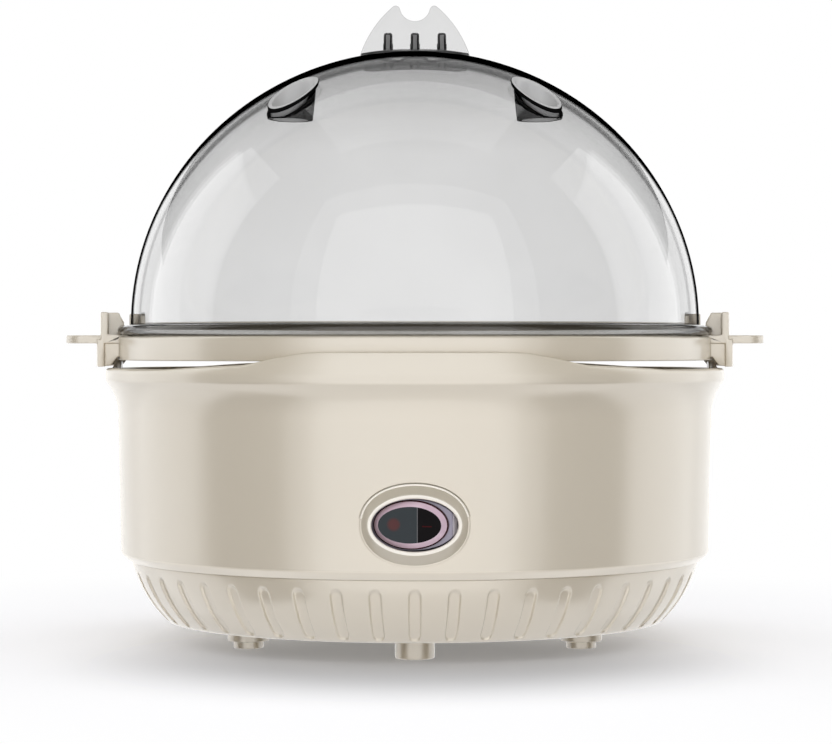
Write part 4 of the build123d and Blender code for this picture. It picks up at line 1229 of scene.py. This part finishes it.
def add_rest(outline, low, high, axis, angle):
    """A rest for the tray inside the collar, turned to its place."""
    rest = slab("rest", outline, low, high, axis, edge=REST_EDGE)
    rest.data.transform(Matrix.Rotation(math.radians(angle), 4, "Z"))
    extras.append(rest)


for angle in (68, 112, 248, 292):
    add_rest(oblong(2, REST_FOOT, REST_TOP), 80.8, 83.6, 0, angle)
side_rest = [
    (82.0, REST_FOOT),
    (84.4, REST_FOOT),
    (84.4, COLLAR_DIP),
    (83.2, REST_TOP),
    (82.0, REST_TOP),
]
for angle in (0, 180):
    add_rest(side_rest, -3, 3, 1, angle)
print("rests:", len(extras) - 1)


# %% Join the housing
def join(name, *pieces):
    """One object from several."""
    chosen = list(pieces)
    with bpy.context.temp_override(
        active_object=pieces[0], selected_editable_objects=chosen, selected_objects=chosen
    ):
        bpy.ops.object.join()
    pieces[0].name = name
    return pieces[0]


for piece in extras:
    dress(piece, "cream_plastic")
housing = join("upper_housing_wall", housing, bezel, *extras)
hand_over(housing, "base", "cream_plastic", "upper_housing")

# %% [markdown]
# ## The tray and the well
#
# The tray carries the eggs and shows as a band between the housing and the dome, with two grips and
# two upright keys. Its solid already has every form, so a merged copy of it gets only what is
# missing: soft edges. The well that the pan hangs in is treated the same way.

# %% Soft copy of a solid
SOFT_EDGE = 0.3


def merge_flat_faces(work):
    """Merge doubles, then the loose triangles that lie in one plane."""
    bmesh.ops.remove_doubles(work, verts=work.verts, dist=2e-6)
    flat = math.radians(0.3)
    bmesh.ops.dissolve_limit(
        work, angle_limit=flat, verts=work.verts, edges=work.edges, delimit={"NORMAL"}
    )


def soft_copy(node, name):
    """A copy of a solid with its doubles merged and its edges rounded."""
    mesh = nodes[node].data.copy()
    rework(mesh, merge_flat_faces)
    if "custom_normal" in mesh.attributes:
        mesh.attributes.remove(mesh.attributes["custom_normal"])
    piece = bpy.data.objects.new(name, mesh)
    scene.collection.objects.link(piece)
    return dress(soften(piece, SOFT_EDGE), "cream_plastic")


tray = soft_copy("egg_tray", "egg_tray_soft")
hand_over(tray, "tray", "cream_plastic", "egg_tray")
well = soft_copy("well_insert", "well_insert_soft")
hand_over(well, "base", "cream_plastic", "well_insert")

# %% [markdown]
# ## The dome
#
# The dome is half an ellipsoid with a rounded flange. Flat facets would show at once in clear
# plastic, so it is turned with many steps. Two vent tubes are welded in, each with a bead that
# follows the dome, and notches and slots are cut for the tray's keys and the handle's pins.

# %% Dome outline
DOME_BASE = 87.6
DOME_RADIUS = 79.1
DOME_HEIGHT = 76.2
DOME_WALL = 2.0
FLANGE_LOW, FLANGE_HIGH = 84.6, 87.4
FLANGE_RADIUS = 82.9
arc_shares = np.concatenate([np.linspace(1, 0.02, 44), [0.008, 0.004]])


def dome_arc(inset):
    """Points from the crown down to the dome's base, this far inside its outer surface."""
    turns = [share * math.pi / 2 for share in arc_shares]
    across, up = DOME_RADIUS - inset, DOME_HEIGHT - inset
    return [(across * math.cos(turn), DOME_BASE + up * math.sin(turn)) for turn in turns]


outline = dome_arc(0.0)
outline += [
    (DOME_RADIUS, DOME_BASE + 0.15),
    (DOME_RADIUS + 0.08, FLANGE_HIGH + 0.06),
    (DOME_RADIUS + 0.25, FLANGE_HIGH),
]
middle, half = (FLANGE_LOW + FLANGE_HIGH) / 2, (FLANGE_HIGH - FLANGE_LOW) / 2
for share in np.linspace(0, 1, 11):
    turn = math.pi / 2 - share * math.pi
    outline.append((FLANGE_RADIUS - half + half * math.cos(turn), middle + half * math.sin(turn)))
outline += [(DOME_RADIUS - DOME_WALL, FLANGE_LOW), (DOME_RADIUS - DOME_WALL, DOME_BASE)]
outline += dome_arc(DOME_WALL)[::-1]
dome = dress(turned("dome_shell", outline, even_angles(240), sharp=30.0), "smoked_plastic")
print("dome outline points:", len(outline))

# %% Vent walls
VENT_SPOT = (33.0, -34.0)
VENT_BASE, VENT_END = 141.6, 156.0
VENT_RADIUS, VENT_WALL = 5.9, 1.3
VENT_SPREAD = 1.9 / (VENT_END - VENT_BASE)
VENT_BEAD = 0.8
vent_turns = even_angles(64)


def dome_level(x, y, grow_by=0.0):
    """Height of the dome's outer surface over this spot."""
    share = (x * x + y * y) / (DOME_RADIUS + grow_by) ** 2
    return DOME_BASE + (DOME_HEIGHT + grow_by) * math.sqrt(max(0.0, 1 - share))


def vent_point(side, turn, radius, level):
    """A point on a vent's slanted wall; the radius is the one at the vent's lower end."""
    reach = radius + (level - VENT_BASE) * VENT_SPREAD
    across, back = side * VENT_SPOT[0], VENT_SPOT[1]
    return (across + reach * math.cos(turn), back + reach * math.sin(turn), level)


def vent_rim(side, radius, grow_by):
    """The row where a vent's slanted wall meets the dome grown by this much, found in rounds."""
    row = []
    for turn in vent_turns:
        level = VENT_END
        for _ in range(25):
            x, y, _ = vent_point(side, turn, radius, level)
            level = dome_level(x, y, grow_by)
        row.append((x, y, level))
    return np.array(row)


def vent_side(side, radius, share):
    """A row this share of the way from a vent's lower end to its rim."""
    low = np.array([vent_point(side, turn, radius, VENT_BASE) for turn in vent_turns])
    return low * (1 - share) + vent_rim(side, radius, VENT_BEAD - 0.3) * share


# %% Vents
BORE_ENDS = (140.0, 162.0)
INSIDE_ROWS = range(5, 10)
inner_radius = VENT_RADIUS - VENT_WALL
bore_radius = VENT_RADIUS - VENT_WALL / 2
rim_radii = (VENT_RADIUS - 0.25, inner_radius + 0.25)


def close_ends(work):
    """Close the open ends of a skin and turn its faces outwards."""
    bmesh.ops.holes_fill(work, edges=[edge for edge in work.edges if edge.is_boundary])
    bmesh.ops.recalc_face_normals(work, faces=work.faces)


for side in (-1, 1):
    rows = [vent_side(side, VENT_RADIUS, share) for share in (0.0, 0.35, 0.7, 0.92, 1.0)]
    rows += [vent_rim(side, radius, VENT_BEAD) for radius in rim_radii]
    rows += [vent_side(side, inner_radius, share) for share in (1.0, 0.92, 0.5, 0.0)]
    tube = dress(skin("vent_tube", np.array(rows), sharp=50.0), "vent_smoke")
    # The tube is painted near black as shade, and its rim's inner half and its bore are painted
    # pale as light.
    add_finishes(tube, "vent_inside")
    for index, face in enumerate(tube.data.polygons):
        if index // len(vent_turns) in INSIDE_ROWS:
            face.material_index = 1
    ends = [
        [vent_point(side, turn, bore_radius, level) for turn in vent_turns] for level in BORE_ENDS
    ]
    bore = dress(skin("bore", np.array(ends), closed_rows=False), "vent_smoke")
    rework(bore.data, close_ends)
    carve(dome, bore)
    carve(dome, tube, "UNION")
print("dome faces with vents:", len(dome.data.polygons))

# %% Notches and pin slots
CUT_LOW = 83.6
PIN_PLACES = (-7.5, 0.0, 7.5)
rim_cuts = {  # half width, top, inner end, outer end
    "notch": (4.5, 91.2, 75.9, 79.9),
    "slot": (1.4, 89.0, 81.0, 85.0),
}
for side in (-1, 1):
    for name, (half_width, top, inner, outer) in rim_cuts.items():
        cutter = slab(name, oblong(half_width, CUT_LOW, top), inner * side, outer * side, axis=0)
        carve(dome, dress(cutter, "smoked_plastic"))
for place in PIN_PLACES:
    hole = slab("hole", oblong(1.55, -2.2, 2.2, place), 158, 168, axis=2)
    carve(dome, dress(hole, "smoked_plastic"))
print("dome faces with notches:", len(dome.data.polygons))

# %% Flange
# The flange takes the darker copy of the smoke, which is painted shade.
add_finishes(dome, "smoked_flange")
flange_slot = len(dome.data.materials) - 1
for face in dome.data.polygons:
    if face.center.z < (FLANGE_HIGH + 0.02) * MM:
        face.material_index = flange_slot
shade_smooth(dome.data, 32.0)
hand_over(dome, "lid", "smoked_plastic", "lid_dome", "steam_vents")

# %% [markdown]
# ## The fin on top
#
# The lid is lifted by a clear fin with two rounded tips. Three smoked ribs cross it, and under each
# a split pin snaps through the dome. One rib with its pins is modelled, and a Geometry Nodes tree
# sets it out three times along a line.

# %% Fin
CROWN_RADIUS = DOME_RADIUS**2 / DOME_HEIGHT
CROWN_CENTRE = DOME_BASE + DOME_HEIGHT - CROWN_RADIUS
FIN_HALF = 15.1


def crown_level(x, y, lift=0.0):
    """Height of the dome's crown over this spot."""
    return CROWN_CENTRE + math.sqrt((CROWN_RADIUS + lift) ** 2 - x * x - y * y)


half_fin = arc_through((FIN_HALF, 163.6), (11.2, 171.0), (6.1, 176.5), 10)
half_fin += arc_through((6.1, 176.5), (5.1, 176.7), (4.2, 175.9), 5)[1:]
half_fin += arc_through((4.2, 175.9), (3.0, 173.6), (0, 172.4), 7)[1:]
fin_outline = half_fin + [(-x, z) for x, z in half_fin[-2::-1]]
fin_outline += [(x, crown_level(x, 0) + 0.1) for x in np.linspace(-FIN_HALF, FIN_HALF, 16)]
fin = slab("handle_fin", fin_outline, -1.0, 1.0, axis=1, edge=0.35)
hand_over(dress(fin, "clear_plastic"), "lid", "clear_plastic", "lid_handle")

# %% Rib with pins
RIB_REACH, RIB_SHOULDER, RIB_TOP = 8, 163.9, 168.4
rib_foot = crown_level(0, RIB_REACH)
rib_outline = [(-RIB_REACH, rib_foot), (RIB_REACH, rib_foot), (RIB_REACH, RIB_SHOULDER)]
rib_outline += arc_through((2.4, RIB_TOP), (0, 169.2), (-2.4, RIB_TOP), 6)
rib_outline += [(-RIB_REACH, RIB_SHOULDER)]
rib = dress(slab("rib", rib_outline, -1.2, 1.2, axis=0, edge=0.65), "dark_smoke")
# The rib's faces seen edge on, and its top, take the near black: painted shade.
add_finishes(rib, "dark_edge")
for face in rib.data.polygons:
    if abs(face.normal.x) > 0.15 or face.center.z > (RIB_TOP - 0.7) * MM:
        face.material_index = 1
half_pin = [(0.5, 166), (1.35, 166), (1.35, 161.6), (1.75, 161.3), (1.1, 159.8), (0.5, 159.8)]
prongs = []
for side in (-1, 1):
    prong = slab("prong", [(side * x, z) for x, z in half_pin], -2, 2, axis=1, edge=0.12)
    prongs.append(dress(prong, "dark_edge"))
rib = join("rib", rib, *prongs)
print("rib faces:", len(rib.data.polygons))

# %% Tree: ribs along a line
tree, given, result = open_group(
    "ribs_in_line",
    "GeometryNodeTree",
    {
        "Geometry": "Geometry",
        "Rib Count": 3,
        "Rib Spacing": 0.0075,
        "Rib": "Object",
        "Prong Top": 0.1636,
        "Prong Plastic": "Material",
    },
    {"Geometry": "Geometry"},
)
do = sums_in(tree)
half_run = do("MULTIPLY", do("SUBTRACT", given["Rib Count"], 1.0), 0.5)
start = do("MULTIPLY", do("MULTIPLY", half_run, given["Rib Spacing"]), -1.0)
first, step = [
    add_node(tree, "ShaderNodeCombineXYZ", {"X": reach}).outputs[0]
    for reach in (start, given["Rib Spacing"])
]
line = {"Count": given["Rib Count"], "Start Location": first, "Offset": step}
line = add_node(tree, "GeometryNodeMeshLine", line).outputs[0]
model = add_node(tree, "GeometryNodeObjectInfo", {"Object": given["Rib"]}).outputs["Geometry"]
set_out = add_node(tree, "GeometryNodeInstanceOnPoints", {"Points": line, "Instance": model})
both = add_node(tree, "GeometryNodeJoinGeometry")
wire(tree, both.inputs[0], set_out.outputs[0])
wire(tree, both.inputs[0], given["Geometry"])
real = add_node(tree, "GeometryNodeRealizeInstances", {"Geometry": both.outputs[0]}).outputs[0]
position = add_node(tree, "GeometryNodeInputPosition").outputs[0]
level = add_node(tree, "ShaderNodeSeparateXYZ", {"Vector": position}).outputs["Z"]
below = do("LESS_THAN", level, given["Prong Top"])
dressed = {"Geometry": real, "Selection": below, "Material": given["Prong Plastic"]}
wire(tree, result["Geometry"], add_node(tree, "GeometryNodeSetMaterial", dressed).outputs[0])
ribs_in_line = tree
print(tree.name, "nodes:", len(tree.nodes))

# %% Base plate and ribs
PLATE_HALF = (FIN_HALF, 13.0)
PLATE_CORNER = 6.0
PLATE_LIFT = 0.6
plate_edge = []
for side_x, side_y, start in ((1, 1, 0), (-1, 1, 90), (-1, -1, 180), (1, -1, 270)):
    corner_x = side_x * (PLATE_HALF[0] - PLATE_CORNER)
    corner_y = side_y * (PLATE_HALF[1] - PLATE_CORNER)
    for step in range(9):
        turn = math.radians(start + 90 * step / 8)
        across, back = PLATE_CORNER * math.cos(turn), PLATE_CORNER * math.sin(turn)
        plate_edge.append((corner_x + across, corner_y + back))
plate_edge = np.array(plate_edge)
plate_top = [(0.0, 1.0), (0.4, 1.0), (0.8, 1.0), (0.975, 1.0), (0.99, 0.9), (1.0, 0.6)]
plate_bottom = [(1.0, 0.0), (0.6, 0.0), (0.0, 0.0)]
rows = []
for share, lift in plate_top + plate_bottom:
    rows.append([(x, y, crown_level(x, y, lift * PLATE_LIFT)) for x, y in plate_edge * share])
plate = skin("handle_plate", np.array(rows), closed_rows=False, sharp=SHARP_ANGLE)
ribs = new_piece("handle_ribs", [], [])
grow(ribs, ribs_in_line, {"Rib": rib, "Prong Plastic": finishes["dark_edge"]})
bpy.data.objects.remove(rib)
plate = join("handle_plate", dress(plate, "dark_plate"), ribs)
shade_smooth(plate.data, SHARP_ANGLE)
hand_over(plate, "lid", "clear_plastic", "lid_handle")

# %% [markdown]
# ## The rocker
#
# The lit rocker is an oval lens, nearly black on its two faces, with a pale bevel round them and a
# thin dark red edge. The bevel's pale colour is painted light, for the light that the clear lens
# carries round its edge. In the photograph its left end is pressed in, so the drum behind the right
# end stands clear and shows as a grey crescent; the drum's side at that end is painted nearly
# white, as painted light where the pocket is in shade. It is a skin over ovals that start at the
# drum, climb the bevel and run in to the crease between the two faces. The round mark and the bar
# are drawn by the finish, from the distance across and up from the rocker's middle. The finish also
# paints the left face lighter than the right, a painted reflection, and a light line along the
# crease, a painted highlight.

# %% Group: rocker face
tree, given, result = open_group(
    "rocker_face",
    "ShaderNodeTree",
    {
        "Vector": "Vector",
        "Lit Left Colour": paint(60, 65, 68),
        "Right Colour": paint(9, 6, 8),
        "Crease Highlight Colour": paint(112, 112, 114),
        "Ring Colour": paint(92, 60, 60),
        "Bar Colour": paint(58, 10, 14),
        "Crease": 0.0018,
    },
    {"Colour": "Color"},
)
# The left face is painted lighter than the right, a painted reflection, and the crease a light
# line, a painted highlight; the ring and the bar are print.
CREASE_WIDTH, CREASE_BLUR = 0.0001, 0.00006
RING_SPOT, RING_RADIUS, RING_BLUR = (-0.00406, 0.00016), 0.0015, 0.0005
BAR_SPOT, BAR_HALF, BAR_BLUR = (0.00427, -0.0003), (0.00125, 0.00016), (0.0001, 0.00008)
do = sums_in(tree)


def soft_step(value, limit, blur):
    """1 where the value is below the limit, 0 above it, with a soft step between."""
    return map_range(tree, value, limit - blur, limit + blur, 1.0, 0.0, smooth=True)


place = add_node(tree, "ShaderNodeSeparateXYZ", {"Vector": given["Vector"]}).outputs
spot = (place["X"], place["Y"])
from_crease = do("SUBTRACT", spot[0], given["Crease"])
is_left = soft_step(from_crease, 0.0, CREASE_WIDTH)
colour = mixed(tree, is_left, given["Right Colour"], given["Lit Left Colour"])
on_crease = soft_step(do("ABSOLUTE", from_crease), CREASE_WIDTH, CREASE_BLUR)
colour = mixed(tree, on_crease, colour, given["Crease Highlight Colour"])
from_ring = [do("SUBTRACT", here, middle) for here, middle in zip(spot, RING_SPOT)]
in_ring = soft_step(distance(tree, *from_ring), RING_RADIUS, RING_BLUR)
colour = mixed(tree, in_ring, colour, given["Ring Colour"])
from_bar = [do("ABSOLUTE", do("SUBTRACT", *pair)) for pair in zip(spot, BAR_SPOT)]
in_bar = do("MULTIPLY", *[soft_step(*numbers) for numbers in zip(from_bar, BAR_HALF, BAR_BLUR)])
wire(tree, result["Colour"], mixed(tree, in_bar, colour, given["Bar Colour"]))
rocker_face = tree
print(tree.name, "nodes:", len(tree.nodes))

# %% Rocker finishes
PIVOT = Vector((0, -0.0756, 0.0368))
SWING = math.radians(-8.7)
gloss = {"spread": 0.04, "bump": 0.02}
# The bevel's pale pink is painted light, and the flank's near white is painted light on the drum's
# side in the pocket's shade.
moulded("switch_rim_painted_light", (232, 206, 220), (222, 196, 212), rough=0.2, **gloss)
moulded("switch_edge", (66, 12, 22), (54, 8, 18), rough=0.25, **gloss)
moulded("switch_lens", (150, 145, 160), (138, 132, 150), rough=0.25, **gloss)
moulded("switch_flank_painted_light", (250, 246, 255), (244, 240, 252), rough=0.3, **gloss)
tree, shader, place = new_finish("switch_face", Roughness=0.3, Specular_IOR_Level=0.04)
local = add_node(tree, "ShaderNodeVectorMath", {0: place, 1: tuple(PIVOT)}, operation="SUBTRACT")
local = {"Vector": local.outputs[0], "Angle": -SWING}
local = add_node(tree, "ShaderNodeVectorRotate", local, rotation_type="Z_AXIS").outputs[0]
local = add_node(tree, "ShaderNodeSeparateXYZ", {"Vector": local}).outputs
local = add_node(tree, "ShaderNodeCombineXYZ", {"X": local["X"], "Y": local["Z"]}).outputs[0]
marks = add_node(tree, "ShaderNodeGroup", {"Vector": local}, node_tree=rocker_face)
wire(tree, shader.inputs["Base Color"], marks.outputs["Colour"])
print("finishes in all:", len(finishes))

# %% Rocker rows
DRUM_OVAL, CAP_OVAL, FACE_OVAL = (11.9, 6.5), (9.55, 6.2), (8.0, 4.6)
DRUM_RADIUS = 12.0
DRUM_BACK, DRUM_FLAT, CAP_EDGE, CAP_TOP = 3.6, 5.9, 6.7, 8.9
CREASE_AT, CREASE_DEPTH = 1.8, 7.6
FACE_TILT = math.tan(math.radians(8.7))
crease_turn = math.acos(CREASE_AT / FACE_OVAL[0])
half_turns = [np.linspace(0, crease_turn, 30)[:-1], np.linspace(crease_turn, math.pi, 42)]
half_turns = np.concatenate(half_turns)
ring_turns = np.concatenate([half_turns, 2 * math.pi - half_turns[-2:0:-1]])


def face_forward(u):
    """How far forward the creased face lies at this distance across."""
    return min(CAP_TOP, CREASE_DEPTH + abs(u - CREASE_AT) * FACE_TILT)


def ring(size, forward, limit=99.0):
    """A row on an oval, cut off at this distance across."""
    across = np.clip(size[0] * np.cos(ring_turns), -limit, limit)
    return np.stack([across, np.full_like(across, forward), size[1] * np.sin(ring_turns)], axis=1)


def bevel_ring(share):
    """A row this share of the way up the bevel, from the cap's edge to the face."""
    low, top = ring(CAP_OVAL, CAP_EDGE), ring(FACE_OVAL, CAP_TOP)
    top[:, 1] = [face_forward(across) for across in top[:, 0]]
    return low * (1 - share) + top * share


def face_ring(share):
    """A row on the face, this share of the way in to the middle of the crease."""
    edge_row = bevel_ring(1.0)
    across = CREASE_AT + (edge_row[:, 0] - CREASE_AT) * (1 - share)
    forward = [face_forward(u) for u in across]
    return np.stack([across, forward, edge_row[:, 2] * (1 - share)], axis=1)


# %% Rocker
rows = [ring((0, 0), DRUM_BACK), ring((5, 3), DRUM_BACK)]
for level in (DRUM_BACK, 4.4, 5.2, 5.75):
    rows.append(ring(DRUM_OVAL, level, math.sqrt(DRUM_RADIUS**2 - level**2)))
rows += [ring((11.75, 6.4), DRUM_FLAT, 10.3), ring((9.6, 6.25), DRUM_FLAT)]
rows += [ring(CAP_OVAL, DRUM_FLAT + 0.1), ring(CAP_OVAL, CAP_EDGE - 0.1)]
rows += [bevel_ring(share) for share in (0.04, 0.2, 0.4, 0.6, 0.8, 0.95)]
rows += [face_ring(share) for share in (0.0, 0.03, 0.13, 0.3, 0.6, 1.0)]
rocker = skin("rocker_lens", np.array(rows), closed_rows=False, sharp=25.0)
print("rocker rows:", len(rows))
stem = slab("stem", oblong(4.5, -2.0, 3.7), -6.4, 6.4, axis=2, edge=0.3)
pins = turned("pins", [(0, -7.6), (1.0, -7.6), (1.0, 7.6), (0, 7.6)], even_angles(32))
add_finishes(rocker, "switch_lens", "switch_edge", "switch_rim_painted_light", "switch_face", "switch_flank_painted_light")
EDGE, BEVEL, LIT_FACE, LIT_FLANK = 1, 2, 3, 4
# The bevel and the drum's right flank get the finishes with painted light.
for face in rocker.data.polygons:
    across, level, up = face.center / MM
    from_middle = math.hypot(across / CAP_OVAL[0], up / CAP_OVAL[1])
    if level > 7 and abs(face.normal.y) > 0.93:
        face.material_index = LIT_FACE
    elif from_middle < 0.955 and level > CAP_EDGE:
        face.material_index = BEVEL
    elif level > DRUM_FLAT + 0.02:
        face.material_index = EDGE
    elif across > DRUM_OVAL[0] - 1.3 and level > DRUM_BACK:
        face.material_index = LIT_FLANK

# %% Rocker in its place
rocker = join("rocker_lens", rocker, dress(stem, "switch_lens"), dress(pins, "switch_lens"))
turn_forward = Matrix(((1, 0, 0, 0), (0, -1, 0, 0), (0, 0, 1, 0), (0, 0, 0, 1)))
rocker.data.transform(Matrix.Translation(PIVOT) @ Matrix.Rotation(SWING, 4, "Z") @ turn_forward)
rocker.data.flip_normals()
hand_over(rocker, "rocker", "switch_lens", "switch_rocker")

# %% [markdown]
# ## The parts that keep their solid
#
# Inside the cooker and at its back, the solids already have the right shape. They keep it and only
# get the finish of their slot.

# %% Finish every remaining solid
shown = [node for node in nodes.values() if not node.hide_render]
for node in shown:
    node.data.materials[0] = finishes[node.data.materials[0].name]
print("solids shown:", len(shown))
